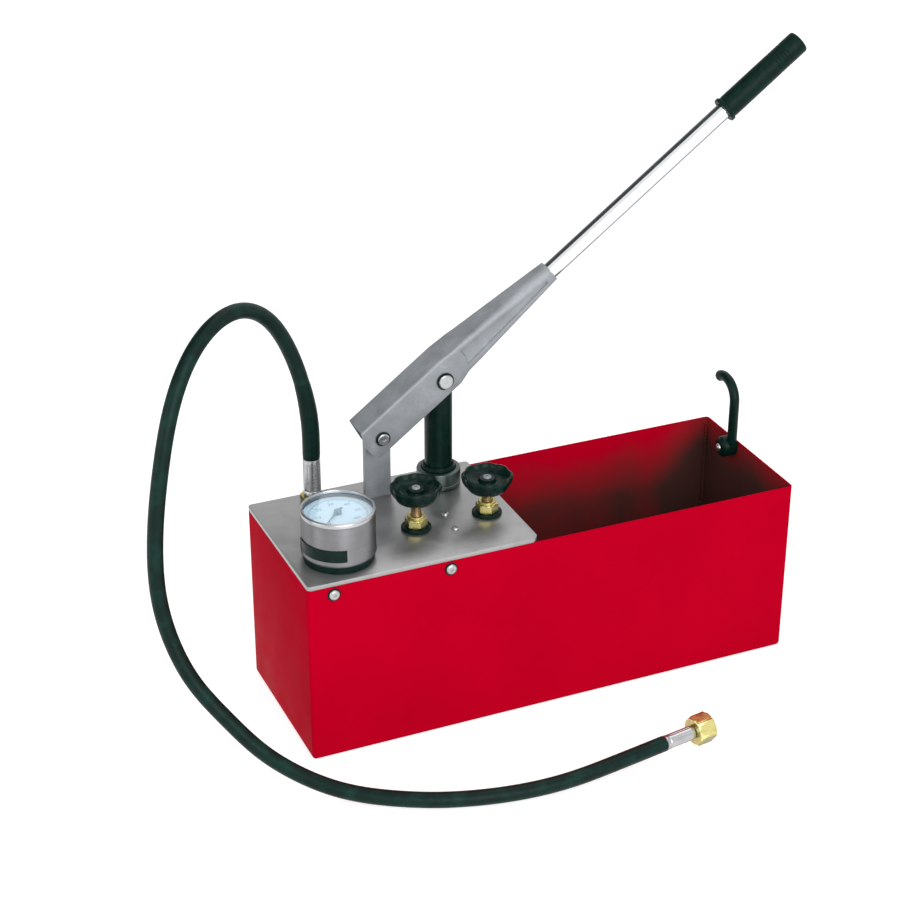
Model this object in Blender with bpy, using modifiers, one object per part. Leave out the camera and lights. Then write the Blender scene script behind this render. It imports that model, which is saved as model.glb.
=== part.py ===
# Hydrostatic test pump: a hand pump on a sheet-steel water trough, with its pressure hose.
# Metres, +Z up. The origin is the middle of the trough's underside, +X runs along the trough
# towards its hook end, and -Y is the front.

import math

import bmesh
import bpy
import numpy as np
from mathutils import Matrix, Vector

# Driving dimensions
TANK_LENGTH = 0.510
TANK_WIDTH = 0.170
HEAD_HEIGHT = 0.190
SHEET = 0.0015
PLATE_THICKNESS = 0.0042
GAP = 0.0003
OVERRUN = 0.004
SINK = 0.0006

# Places on the head plate, from its left end and from its front or back edge
GAUGE_FROM_LEFT = 0.0460
GAUGE_FROM_FRONT = 0.0411
VALVE_FROM_LEFT = 0.1325
VALVE_FROM_FRONT = 0.0630
VALVE_SPACING = 0.0735
PLATE_END_MARGIN = 0.0260
PLATE_LENGTH = VALVE_FROM_LEFT + VALVE_SPACING + PLATE_END_MARGIN
FULCRUM_FROM_LEFT = 0.1230
PUMP_FROM_BACK = 0.0310
HOSE_FROM_LEFT = 0.0615
HOSE_FROM_BACK = 0.0160

# Pump linkage, measured up and down from the head plate
FULCRUM_RISE = 0.0694
ROCKER_DROP = 0.0200
FULCRUM_HEIGHT = HEAD_HEIGHT + FULCRUM_RISE
ROCKER_HEIGHT = HEAD_HEIGHT - ROCKER_DROP
LEVER_ANGLE = math.radians(36.8)
PIN_SPACING = 0.0810

LEFT = -TANK_LENGTH / 2
RIGHT = TANK_LENGTH / 2
FRONT = -TANK_WIDTH / 2
BACK = TANK_WIDTH / 2
PLATE_BOTTOM = HEAD_HEIGHT - PLATE_THICKNESS
RIM_HEIGHT = PLATE_BOTTOM - GAP
PLATE_RIGHT = LEFT + PLATE_LENGTH
SEAT = HEAD_HEIGHT + GAP

GAUGE_X = LEFT + GAUGE_FROM_LEFT
GAUGE_Y = FRONT + GAUGE_FROM_FRONT
VALVE_Y = FRONT + VALVE_FROM_FRONT
VALVE_XS = {"left": LEFT + VALVE_FROM_LEFT, "right": LEFT + VALVE_FROM_LEFT + VALVE_SPACING}
FULCRUM_X = LEFT + FULCRUM_FROM_LEFT
PUMP_Y = BACK - PUMP_FROM_BACK
PISTON_X = FULCRUM_X + PIN_SPACING * math.cos(LEVER_ANGLE)
PISTON_PIN_HEIGHT = FULCRUM_HEIGHT + PIN_SPACING * math.sin(LEVER_ANGLE)
HOSE_X = LEFT + HOSE_FROM_LEFT
HOSE_Y = BACK - HOSE_FROM_BACK

# Fineness of round shapes
FINE_STEPS = 40
ROUND_STEPS = 28
SMALL_STEPS = 16
PIN_STEPS = 14
MERGE = 0.00001
SHARP_ANGLE = math.radians(35)

for old in list(bpy.data.objects):
    bpy.data.objects.remove(old)

parts = bpy.data.collections.new("hydrostatic_test_pump")
cutters = bpy.data.collections.new("cutters")
bpy.context.scene.collection.children.link(parts)
bpy.context.scene.collection.children.link(cutters)


def finish_of(name, colour, roughness, metallic=0.0, alpha=1.0):
    material = bpy.data.materials.new(name)
    material.use_nodes = True
    shader = material.node_tree.nodes["Principled BSDF"]
    shader.inputs["Base Color"].default_value = (*colour, 1.0)
    shader.inputs["Roughness"].default_value = roughness
    shader.inputs["Metallic"].default_value = metallic
    shader.inputs["Alpha"].default_value = alpha
    return material


RED_PAINT = finish_of("red_paint", (0.50, 0.005, 0.018), 0.35)
ZINC = finish_of("zinc_plate", (0.42, 0.43, 0.44), 0.42, 0.8)
STEEL = finish_of("bright_steel", (0.62, 0.63, 0.64), 0.3, 1.0)
CHROME = finish_of("chrome", (0.80, 0.81, 0.82), 0.1, 1.0)
BRASS = finish_of("brass", (0.72, 0.55, 0.18), 0.3, 1.0)
CAST_ALUMINIUM = finish_of("cast_aluminium", (0.45, 0.45, 0.46), 0.55, 0.9)
BLACK_COAT = finish_of("black_coat", (0.012, 0.022, 0.020), 0.4, 0.2)
BLACK_PLASTIC = finish_of("black_plastic", (0.012, 0.020, 0.018), 0.4)
BLACK_RUBBER = finish_of("black_rubber", (0.014, 0.022, 0.020), 0.6)
DIAL_WHITE = finish_of("dial_white", (0.70, 0.80, 0.86), 0.5)
CLEAR_GLASS = finish_of("clear_glass", (0.9, 0.95, 0.97), 0.05, 0.0, 0.3)


def add_object(name, data, finish, place=(0, 0, 0), turn=None):
    made = bpy.data.objects.new(name, data)
    parts.objects.link(made)
    data.materials.clear()
    data.materials.append(finish)
    made.matrix_world = Matrix.Translation(Vector(place)) @ (turn or Matrix.Identity(4))
    return made


def as_cutter(made):
    parts.objects.unlink(made)
    cutters.objects.link(made)
    made.hide_render = True
    made.display_type = "WIRE"
    return made


def boolean(target, tool, operation="DIFFERENCE"):
    as_cutter(tool)
    step = target.modifiers.new(tool.name, "BOOLEAN")
    step.object = tool
    step.operation = operation
    step.solver = "EXACT"


def mesh_from(bm, name):
    mesh = bpy.data.meshes.new(name)
    bm.to_mesh(mesh)
    bm.free()
    return mesh


def smooth_round(mesh):
    mesh.shade_smooth()
    mesh.set_sharp_from_angle(angle=SHARP_ANGLE)


def box(name, low, high, finish, edge=0.0):
    """A box between two corners, with its edges rounded by edge."""
    low = Vector(low)
    high = Vector(high)
    bm = bmesh.new()
    size = high - low
    bmesh.ops.create_cube(bm, size=1.0, matrix=Matrix.Diagonal((*size, 1.0)))
    made = add_object(name, mesh_from(bm, name), finish, (low + high) / 2)
    if edge:
        bevel = made.modifiers.new("edge", "BEVEL")
        bevel.width = edge
        bevel.segments = 2
    return made


def facing(direction):
    """The turn that takes +Z to a direction."""
    return Vector(direction).to_track_quat("Z", "Y").to_matrix().to_4x4()


def rod(name, start, end, radius, finish, steps=ROUND_STEPS, end_radius=None):
    """A plain cylinder or cone between two points."""
    start = Vector(start)
    end = Vector(end)
    bm = bmesh.new()
    other = radius if end_radius is None else end_radius
    bmesh.ops.create_cone(bm, cap_ends=True, segments=steps, radius1=radius, radius2=other,
                          depth=(end - start).length)
    mesh = mesh_from(bm, name)
    smooth_round(mesh)
    return add_object(name, mesh, finish, (start + end) / 2, facing(end - start))


def turned(name, profile, finish, place=(0, 0, 0), direction=(0, 0, 1), steps=ROUND_STEPS, ring=False):
    """A turned piece. The profile holds (radius, height) pairs, down the outer side."""
    mesh = bpy.data.meshes.new(name)
    points = [(radius, 0.0, height) for radius, height in profile]
    edges = [(i, i + 1) for i in range(len(points) - 1)]
    if ring:
        edges.append((len(points) - 1, 0))
    mesh.from_pydata(points, edges, [])
    made = add_object(name, mesh, finish, place, facing(direction))
    screw = made.modifiers.new("turn", "SCREW")
    screw.steps = steps
    screw.render_steps = steps
    screw.use_merge_vertices = True
    screw.merge_threshold = MERGE
    screw.use_smooth_shade = True
    return made


def tube_profile(outer, inner, low, high, edge=0.0):
    """The wall of a plain tube, with its outer edges taken off by edge."""
    if not edge:
        return [(outer, high), (outer, low), (inner, low), (inner, high)]
    return [(outer - edge, high), (outer, high - edge), (outer, low + edge), (outer - edge, low),
            (inner, low), (inner, high)]


def curve_object(name, splines, finish, two_d=False):
    data = bpy.data.curves.new(name, "CURVE")
    data.dimensions = "2D" if two_d else "3D"
    for points, closed in splines:
        spline = data.splines.new("POLY")
        spline.points.add(len(points) - 1)
        for target, point in zip(spline.points, points):
            height = point[2] if len(point) > 2 else 0.0
            target.co = (point[0], point[1], height, 1.0)
        spline.use_cyclic_u = closed
    return add_object(name, data, finish)


def into_mesh(made):
    """The evaluated curve as a mesh object with its caps welded on."""
    bpy.context.view_layer.update()
    evaluated = made.evaluated_get(bpy.context.evaluated_depsgraph_get())
    mesh = bpy.data.meshes.new_from_object(evaluated)
    bm = bmesh.new()
    bm.from_mesh(mesh)
    bmesh.ops.remove_doubles(bm, verts=bm.verts, dist=MERGE)
    bmesh.ops.recalc_face_normals(bm, faces=bm.faces)
    bm.to_mesh(mesh)
    bm.free()
    name = made.name
    finish = made.data.materials[0]
    place = made.matrix_world.copy()
    bpy.data.objects.remove(made)
    fresh = add_object(name, mesh, finish)
    fresh.name = name
    fresh.matrix_world = place
    return fresh


def slab(name, outline, thickness, finish, place=(0, 0, 0), turn=None):
    """A flat outline in X and Y, thickened both ways from its own plane."""
    made = curve_object(name, [(outline, True)], finish, two_d=True)
    made.data.fill_mode = "BOTH"
    made.data.extrude = thickness / 2
    made.matrix_world = Matrix.Translation(Vector(place)) @ (turn or Matrix.Identity(4))
    return into_mesh(made)


def wire(name, points, radius, finish, resolution=2):
    made = curve_object(name, [(points, False)], finish)
    made.data.bevel_depth = radius
    made.data.bevel_resolution = resolution
    made.data.use_fill_caps = True
    return made


def arc(centre, radius, start, end, steps):
    """Points on an arc, with angles in radians."""
    turns = [start + (end - start) * i / steps for i in range(steps + 1)]
    return [(centre[0] + radius * math.cos(t), centre[1] + radius * math.sin(t)) for t in turns]


def rounded_rectangle(low, high, radii, steps=4):
    """Corners run anticlockwise from the low one, each with its own radius."""
    centres = [(low[0] + radii[0], low[1] + radii[0]), (high[0] - radii[1], low[1] + radii[1]),
               (high[0] - radii[2], high[1] - radii[2]), (low[0] + radii[3], high[1] - radii[3])]
    points = []
    for i, (centre, radius) in enumerate(zip(centres, radii)):
        start = math.pi + i * math.pi / 2
        points += arc(centre, radius, start, start + math.pi / 2, steps)
    return points


# Fixing screws of the head plate, and the flanges that they hold
FLANGE_DEPTH = 0.020
FLANGE_SHEET = 0.0020
FLANGE_INSET = 0.010
PLATE_SCREW_FROM_LEFT = (0.0250, 0.1410)
PLATE_SCREW_DROP = 0.0080
PLATE_SCREW_RADIUS = 0.0030
PLATE_SCREW_HEAD = 0.0065
PLATE_SCREW_HEAD_HEIGHT = 0.0034
PLATE_SCREW_END = 0.0030
FLANGE_FACE = BACK - SHEET - GAP

# Hook at the right end
HOOK_Y = 0.0306
HOOK_DROP = 0.0080
HOOK_BOSS_RADIUS = 0.0110
HOOK_BOSS_LENGTH = 0.0160
HOOK_BOSS_TAPER = 0.0040
HOOK_ROD_RADIUS = 0.0050
HOOK_STEM_OFFSET = 0.0071
HOOK_CURL_RADIUS = 0.0200
HOOK_STEM_RISE = 0.0525
HOOK_CURL_TURN = math.radians(125)
HOOK_ROD_FROM_WALL = 0.0053
HOOK_PIN_RADIUS = 0.0030
HOOK_PIN_HEAD = 0.0042
HOOK_PIN_HEAD_HEIGHT = 0.0026
HOOK_PIN_UPSET = 0.0055
HOOK_PIN_UPSET_HEIGHT = 0.0015
HOOK_HEIGHT = RIM_HEIGHT - HOOK_DROP
HOOK_STEM_TOP = HOOK_HEIGHT + HOOK_STEM_RISE
WALL_FACE = RIGHT - SHEET

TANK_BEND = 0.0040


def make_tank():
    bm = bmesh.new()
    size = Vector((TANK_LENGTH, TANK_WIDTH, RIM_HEIGHT))
    middle = Matrix.Translation((0, 0, RIM_HEIGHT / 2))
    bmesh.ops.create_cube(bm, size=1.0, matrix=middle @ Matrix.Diagonal((*size, 1.0)))
    top = [face for face in bm.faces if face.normal.z > 0.5]
    bmesh.ops.delete(bm, geom=top, context="FACES_ONLY")
    folds = [edge for edge in bm.edges if len(edge.link_faces) == 2]
    bmesh.ops.bevel(bm, geom=folds, offset=TANK_BEND, segments=3, profile=0.5, affect="EDGES",
                    material=-1)
    tank = add_object("tank", mesh_from(bm, "tank"), RED_PAINT)
    wall = tank.modifiers.new("wall", "SOLIDIFY")
    wall.thickness = SHEET
    wall.offset = -1.0
    wall.use_even_offset = True
    for index, inset in enumerate(PLATE_SCREW_FROM_LEFT):
        for side, y in (("front", FRONT), ("back", BACK)):
            x = LEFT + inset
            z = RIM_HEIGHT - PLATE_SCREW_DROP
            reach = SHEET + OVERRUN
            hole = rod(f"tank_hole_{side}_{index}", (x, y - reach, z), (x, y + reach, z),
                       PLATE_SCREW_RADIUS + GAP, RED_PAINT, SMALL_STEPS)
            boolean(tank, hole)
    hole = rod("tank_hook_hole", (WALL_FACE - OVERRUN, HOOK_Y, HOOK_HEIGHT),
               (RIGHT + OVERRUN, HOOK_Y, HOOK_HEIGHT), HOOK_PIN_RADIUS + GAP, RED_PAINT, SMALL_STEPS)
    boolean(tank, hole)


# Head plate openings
CORNER_RADIUS = 0.0080
BACK_CORNER_RADIUS = 0.0040
SHANK_RADIUS = 0.0080
SOCKET_RADIUS = 0.0060
BLOCK_SCREW_RADIUS = 0.0020
BLOCK_SCREW_HEAD = 0.0037
BLOCK_SCREW_HEAD_HEIGHT = 0.0022
BLOCK_SCREW_FROM_LEFT = {"back": 0.1680, "front": 0.1660}
BLOCK_SCREW_FROM_FRONT = {"back": 0.0765, "front": 0.0470}
BLOCK_SCREW_DEPTH = 0.0120
GLAND_SPIGOT_RADIUS = 0.0187

# Rocking link through the plate
LINK_WIDTH = 0.0235
LINK_THICKNESS = 0.0080
LINK_SWAY = 0.0055
LINK_SLOT_CLEARANCE = 0.0007


def make_head_plate():
    outline = rounded_rectangle((LEFT, FRONT), (PLATE_RIGHT, BACK),
                                (BACK_CORNER_RADIUS, CORNER_RADIUS, BACK_CORNER_RADIUS,
                                 BACK_CORNER_RADIUS))
    plate = slab("head_plate", outline, PLATE_THICKNESS, ZINC,
                 (0, 0, PLATE_BOTTOM + PLATE_THICKNESS / 2))
    for side, sign in (("front", -1), ("back", 1)):
        faces = sorted((sign * FLANGE_FACE, sign * (FLANGE_FACE - FLANGE_SHEET)))
        flange = box(f"plate_flange_{side}",
                     (LEFT + FLANGE_INSET, faces[0], PLATE_BOTTOM - FLANGE_DEPTH),
                     (PLATE_RIGHT - FLANGE_INSET, faces[1], PLATE_BOTTOM + SINK), ZINC)
        boolean(plate, flange, "UNION")
        for index, inset in enumerate(PLATE_SCREW_FROM_LEFT):
            x = LEFT + inset
            z = RIM_HEIGHT - PLATE_SCREW_DROP
            hole = rod(f"flange_hole_{side}_{index}", (x, faces[0] - OVERRUN, z),
                       (x, faces[1] + OVERRUN, z), PLATE_SCREW_RADIUS + GAP, ZINC, SMALL_STEPS)
            boolean(plate, hole)
    holes = [("gauge", GAUGE_X, GAUGE_Y, SOCKET_RADIUS), ("hose", HOSE_X, HOSE_Y, SHANK_RADIUS),
             ("gland", PISTON_X, PUMP_Y, GLAND_SPIGOT_RADIUS)]
    holes += [(f"{side}_valve", x, VALVE_Y, SHANK_RADIUS) for side, x in VALVE_XS.items()]
    holes += [(f"{side}_screw", x, y, BLOCK_SCREW_RADIUS) for side, x, y in block_screw_places()]
    for name, x, y, radius in holes:
        hole = rod(f"plate_hole_{name}", (x, y, PLATE_BOTTOM - OVERRUN), (x, y, SEAT + OVERRUN),
                   radius + GAP, ZINC, ROUND_STEPS)
        boolean(plate, hole)
    reach = LINK_WIDTH / 2 + LINK_SWAY
    half = LINK_THICKNESS / 2 + LINK_SLOT_CLEARANCE
    slot = box("plate_slot", (FULCRUM_X - reach, PUMP_Y - half, PLATE_BOTTOM - OVERRUN),
               (FULCRUM_X + reach, PUMP_Y + half, SEAT + OVERRUN), ZINC)
    boolean(plate, slot)


def block_screw_places():
    return [(side, LEFT + BLOCK_SCREW_FROM_LEFT[side], FRONT + BLOCK_SCREW_FROM_FRONT[side])
            for side in BLOCK_SCREW_FROM_LEFT]


def pan_screw(name, place, direction, head, head_height, shank, length, finish=STEEL):
    """A domed screw whose head seats at place, its shank running back along the direction."""
    dome = [(0.0, head_height), (head * 0.45, head_height * 0.93), (head * 0.8, head_height * 0.6),
            (head, head_height * 0.15), (head, GAP), (shank, GAP), (shank, -length), (0.0, -length)]
    return turned(name, dome, finish, place, direction, SMALL_STEPS)


def make_plate_screws():
    length = SHEET + GAP + FLANGE_SHEET + PLATE_SCREW_END
    for side, sign, y in (("front", -1, FRONT), ("back", 1, BACK)):
        for end, inset in zip(("left", "right"), PLATE_SCREW_FROM_LEFT):
            pan_screw(f"plate_screw_{side}_{end}", (LEFT + inset, y, RIM_HEIGHT - PLATE_SCREW_DROP),
                      (0, sign, 0), PLATE_SCREW_HEAD, PLATE_SCREW_HEAD_HEIGHT, PLATE_SCREW_RADIUS, length)


# Valve block under the plate
BLOCK_HEIGHT = 0.0340
BLOCK_MARGIN = 0.0170
BLOCK_TONGUE = 0.0140
CYLINDER_TONGUE = 0.0260
TONGUE_END = 0.0220
HOSE_TONGUE_END = 0.0110
PORT_DEPTH = 0.0160
SPINDLE_RADIUS = 0.0050
VALVE_BORE_DEPTH = 0.0280
CYLINDER_RADIUS = 0.0200
BLOCK_TOP = PLATE_BOTTOM - GAP
BLOCK_BOTTOM = BLOCK_TOP - BLOCK_HEIGHT

# Discharge valve in the block
CHECK_BORE = 0.0062
CHECK_SEAT_RADIUS = 0.0028
CHECK_SEAT_DROP = 0.0110
CHECK_PORT_TOP = 0.0040
CHECK_BALL = 0.0048
CHECK_X = (VALVE_XS["left"] + VALVE_XS["right"]) / 2


def make_pump_block():
    front = GAUGE_Y - BLOCK_MARGIN
    back = VALVE_Y + BLOCK_MARGIN
    block = box("pump_block", (GAUGE_X - BLOCK_MARGIN, front, BLOCK_BOTTOM),
                (VALVE_XS["right"] + BLOCK_MARGIN, back, BLOCK_TOP), CAST_ALUMINIUM)
    tongues = (("cylinder", PISTON_X, CYLINDER_TONGUE, PUMP_Y + TONGUE_END),
               ("hose", HOSE_X, BLOCK_TONGUE, HOSE_Y + HOSE_TONGUE_END))
    for name, x, half, end in tongues:
        tongue = box(f"block_tongue_{name}", (x - half, back - SINK, BLOCK_BOTTOM),
                     (x + half, end, BLOCK_TOP), CAST_ALUMINIUM)
        boolean(block, tongue, "UNION")
    bore = rod("block_cylinder_bore", (PISTON_X, PUMP_Y, BLOCK_BOTTOM - OVERRUN),
               (PISTON_X, PUMP_Y, BLOCK_TOP + OVERRUN), CYLINDER_RADIUS + GAP, BRASS, FINE_STEPS)
    boolean(block, bore)
    ports = [("gauge", GAUGE_X, GAUGE_Y, SOCKET_RADIUS, PORT_DEPTH),
             ("hose", HOSE_X, HOSE_Y, SHANK_RADIUS, PORT_DEPTH)]
    for side, x in VALVE_XS.items():
        ports.append((f"{side}_shank", x, VALVE_Y, SHANK_RADIUS, PORT_DEPTH))
        ports.append((f"{side}_spindle", x, VALVE_Y, SPINDLE_RADIUS, VALVE_BORE_DEPTH))
    for side, x, y in block_screw_places():
        ports.append((f"{side}_screw", x, y, BLOCK_SCREW_RADIUS, BLOCK_SCREW_DEPTH))
    for name, x, y, radius, depth in ports:
        hole = rod(f"block_port_{name}", (x, y, BLOCK_TOP - depth - GAP), (x, y, BLOCK_TOP + OVERRUN),
                   radius + GAP, BRASS, ROUND_STEPS)
        boolean(block, hole)
    check = rod("block_check_bore", (CHECK_X, VALVE_Y, BLOCK_BOTTOM - OVERRUN),
                (CHECK_X, VALVE_Y, BLOCK_TOP - CHECK_SEAT_DROP), CHECK_BORE, BRASS, ROUND_STEPS)
    boolean(block, check)
    seat = rod("block_check_port", (CHECK_X, VALVE_Y, BLOCK_TOP - CHECK_SEAT_DROP - SINK),
               (CHECK_X, VALVE_Y, BLOCK_TOP - CHECK_PORT_TOP), CHECK_SEAT_RADIUS, BRASS, SMALL_STEPS)
    boolean(block, seat)


def make_block_screws():
    length = PLATE_THICKNESS + BLOCK_SCREW_DEPTH - GAP
    for side, x, y in block_screw_places():
        pan_screw(f"block_screw_{side}", (x, y, HEAD_HEIGHT), (0, 0, 1), BLOCK_SCREW_HEAD,
                  BLOCK_SCREW_HEAD_HEIGHT, BLOCK_SCREW_RADIUS, length)


# Discharge check valve: ball, spring and plug in the block's lower bore
PLUG_DEPTH = 0.0060
PLUG_HEAD_RADIUS = 0.0085
PLUG_HEAD_HEIGHT = 0.0040
SPRING_TURNS = 4
SPRING_WIRE = 0.0005
SPRING_RADIUS = 0.0036
SPRING_POINTS_A_TURN = 10


def ball_drop(ball, seat):
    """How far a ball's centre stands from the rim of the hole that it closes."""
    return math.sqrt((ball + GAP) ** 2 - seat ** 2)


def ball(name, place, radius):
    bm = bmesh.new()
    bmesh.ops.create_uvsphere(bm, u_segments=SMALL_STEPS, v_segments=SMALL_STEPS // 2, radius=radius)
    mesh = mesh_from(bm, name)
    mesh.shade_smooth()
    return add_object(name, mesh, STEEL, place)


def make_discharge_valve():
    seat_height = BLOCK_TOP - CHECK_SEAT_DROP
    centre = seat_height - ball_drop(CHECK_BALL, CHECK_SEAT_RADIUS)
    ball("discharge_ball", (CHECK_X, VALVE_Y, centre), CHECK_BALL)
    plug = [(0.0, PLUG_DEPTH), (CHECK_BORE - GAP, PLUG_DEPTH), (CHECK_BORE - GAP, -GAP),
            (PLUG_HEAD_RADIUS, -GAP), (PLUG_HEAD_RADIUS, -PLUG_HEAD_HEIGHT), (0.0, -PLUG_HEAD_HEIGHT)]
    turned("discharge_plug", plug, BRASS, (CHECK_X, VALVE_Y, BLOCK_BOTTOM), steps=SMALL_STEPS)
    low = BLOCK_BOTTOM + PLUG_DEPTH + GAP + SPRING_WIRE
    high = centre - math.sqrt(CHECK_BALL ** 2 - SPRING_RADIUS ** 2) - SPRING_WIRE - GAP
    count = SPRING_TURNS * SPRING_POINTS_A_TURN
    points = []
    for i in range(count + 1):
        angle = 2 * math.pi * i / SPRING_POINTS_A_TURN
        points.append((CHECK_X + SPRING_RADIUS * math.cos(angle),
                       VALVE_Y + SPRING_RADIUS * math.sin(angle), low + (high - low) * i / count))
    wire("discharge_spring", points, SPRING_WIRE, STEEL, 1)


# Pump cylinder, gland and piston
PISTON_RADIUS = 0.0137
CYLINDER_BOTTOM_SHARE = 0.4960
CYLINDER_BOTTOM = BLOCK_TOP * CYLINDER_BOTTOM_SHARE
CYLINDER_FLANGE_RADIUS = 0.0250
CYLINDER_FLANGE_HEIGHT = 0.0040
GLAND_RADIUS = 0.0217
GLAND_HEIGHT = 0.0182
GLAND_EDGE = 0.0012
GLAND_STEP = 0.0008
PACKING_RADIUS = 0.0165
PACKING_HEIGHT = 0.0120
WIPER_RADIUS = 0.0168
WIPER_POCKET = 0.0060
WIPER_STAND = 0.0040
WIPER_LIP = 0.0012
PISTON_LENGTH = 0.1440
PISTON_TOP_DROP = 0.0092
PISTON_WALL = 0.0040
PISTON_EDGE = 0.0008
BORE = PISTON_RADIUS + GAP


def make_cylinder():
    low = CYLINDER_BOTTOM
    flange_top = BLOCK_BOTTOM - GAP
    profile = [(CYLINDER_RADIUS, BLOCK_TOP), (CYLINDER_RADIUS, flange_top),
               (CYLINDER_FLANGE_RADIUS, flange_top),
               (CYLINDER_FLANGE_RADIUS, flange_top - CYLINDER_FLANGE_HEIGHT),
               (CYLINDER_RADIUS, flange_top - CYLINDER_FLANGE_HEIGHT),
               (CYLINDER_RADIUS, low), (BORE, low), (BORE, BLOCK_TOP)]
    turned("pump_cylinder", profile, BRASS, (PISTON_X, PUMP_Y, 0), steps=FINE_STEPS, ring=True)


def make_gland():
    top = SEAT + GLAND_HEIGHT
    pocket = PLATE_BOTTOM + GAP + PACKING_HEIGHT
    spigot = GLAND_SPIGOT_RADIUS
    profile = [(GLAND_RADIUS - GLAND_EDGE, top), (GLAND_RADIUS, top - GLAND_EDGE),
               (GLAND_RADIUS, SEAT + GLAND_EDGE), (GLAND_RADIUS - GLAND_STEP, SEAT), (spigot, SEAT),
               (spigot, PLATE_BOTTOM + GAP), (PACKING_RADIUS + GAP, PLATE_BOTTOM + GAP),
               (PACKING_RADIUS + GAP, pocket), (BORE, pocket), (BORE, top - WIPER_POCKET),
               (WIPER_RADIUS + GAP, top - WIPER_POCKET), (WIPER_RADIUS + GAP, top)]
    turned("gland_nut", profile, STEEL, (PISTON_X, PUMP_Y, 0), steps=FINE_STEPS, ring=True)
    turned("packing_ring",
           tube_profile(PACKING_RADIUS, BORE, PLATE_BOTTOM + GAP, pocket - GAP),
           BLACK_RUBBER, (PISTON_X, PUMP_Y, 0), ring=True)
    base = top - WIPER_POCKET + GAP
    lip = top + WIPER_STAND
    wiper = [(BORE + WIPER_LIP, lip), (WIPER_RADIUS, top + WIPER_LIP), (WIPER_RADIUS, base),
             (BORE, base), (BORE, lip)]
    turned("rod_wiper", wiper, BLACK_RUBBER, (PISTON_X, PUMP_Y, 0), steps=FINE_STEPS, ring=True)


# Eye of the piston, whose slot lets the lever pin wander
EYE_HALF_WIDTH = 0.0130
EYE_THICKNESS = 0.0220
EYE_DROP = 0.0010
SLOT_LEFT = 0.0089
SLOT_RIGHT = 0.0082
SLOT_DOWN = 0.0079
SLOT_UP = 0.0071
SPIGOT_LENGTH = 0.0200


def make_piston():
    top = PISTON_PIN_HEIGHT - PISTON_TOP_DROP
    place = (PISTON_X, PUMP_Y, 0)
    bore = PISTON_RADIUS - PISTON_WALL
    low = top - PISTON_LENGTH
    profile = [(PISTON_RADIUS, top), (PISTON_RADIUS, low + PISTON_EDGE),
               (PISTON_RADIUS - PISTON_EDGE, low), (bore, low), (bore, top)]
    turned("piston_tube", profile, BLACK_COAT, place, steps=FINE_STEPS, ring=True)
    neck = rod("piston_eye", (PISTON_X, PUMP_Y, top - SPIGOT_LENGTH), (PISTON_X, PUMP_Y, top + SINK),
               bore - GAP, STEEL)
    crown = arc((0, 0), EYE_HALF_WIDTH, 0, math.pi, 12)
    foot = -(PISTON_TOP_DROP - GAP - EYE_DROP)
    outline = [(EYE_HALF_WIDTH, foot)] + crown + [(-EYE_HALF_WIDTH, foot)]
    upright = Matrix.Rotation(math.radians(90), 4, "X")
    eye = slab("piston_eye_plate", outline, EYE_THICKNESS, STEEL,
               (PISTON_X, PUMP_Y, PISTON_PIN_HEIGHT - EYE_DROP), upright)
    boolean(neck, eye, "UNION")
    outline = rounded_rectangle((-SLOT_LEFT, -SLOT_DOWN), (SLOT_RIGHT, SLOT_UP), [SLOT_UP] * 4)
    slot = slab("piston_eye_slot", outline, EYE_THICKNESS + OVERRUN, STEEL,
                (PISTON_X, PUMP_Y, PISTON_PIN_HEIGHT), upright)
    boolean(neck, slot)


# Foot valve, strainer and return pipe
FOOT_FLANGE_HEIGHT = 0.0100
FOOT_SPIGOT = 0.0060
FOOT_BODY_RADIUS = 0.0110
FOOT_BALL = 0.0050
FOOT_SEAT_RADIUS = 0.0035
FOOT_CAGE_RADIUS = 0.0066
FOOT_CAGE_PORT = 0.0042
FOOT_LIFT = 0.0030
FOOT_SEAT_SHARE = 0.3774
FOOT_SEAT_HEIGHT = BLOCK_TOP * FOOT_SEAT_SHARE
FOOT_STEM_RADIUS = 0.0080
FOOT_STEM_SHARE = 0.3019
FOOT_STEM_BOTTOM = BLOCK_TOP * FOOT_STEM_SHARE
STRAINER_RADIUS = 0.0135
STRAINER_WALL = 0.0015
STRAINER_BOTTOM_SHARE = 0.0647
STRAINER_TOP_SHARE = 0.3450
STRAINER_BOTTOM = BLOCK_TOP * STRAINER_BOTTOM_SHARE
STRAINER_TOP = BLOCK_TOP * STRAINER_TOP_SHARE
STRAINER_SLOT = 0.0030
STRAINER_SLOT_MARGIN = 0.0100
STRAINER_SLOT_LAYERS = 3
RETURN_RADIUS = 0.0050
RETURN_WALL = 0.0010
RETURN_BOTTOM_SHARE = 0.3235
RETURN_BOTTOM = BLOCK_TOP * RETURN_BOTTOM_SHARE
RETURN_FLANGE = 0.0085


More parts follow.
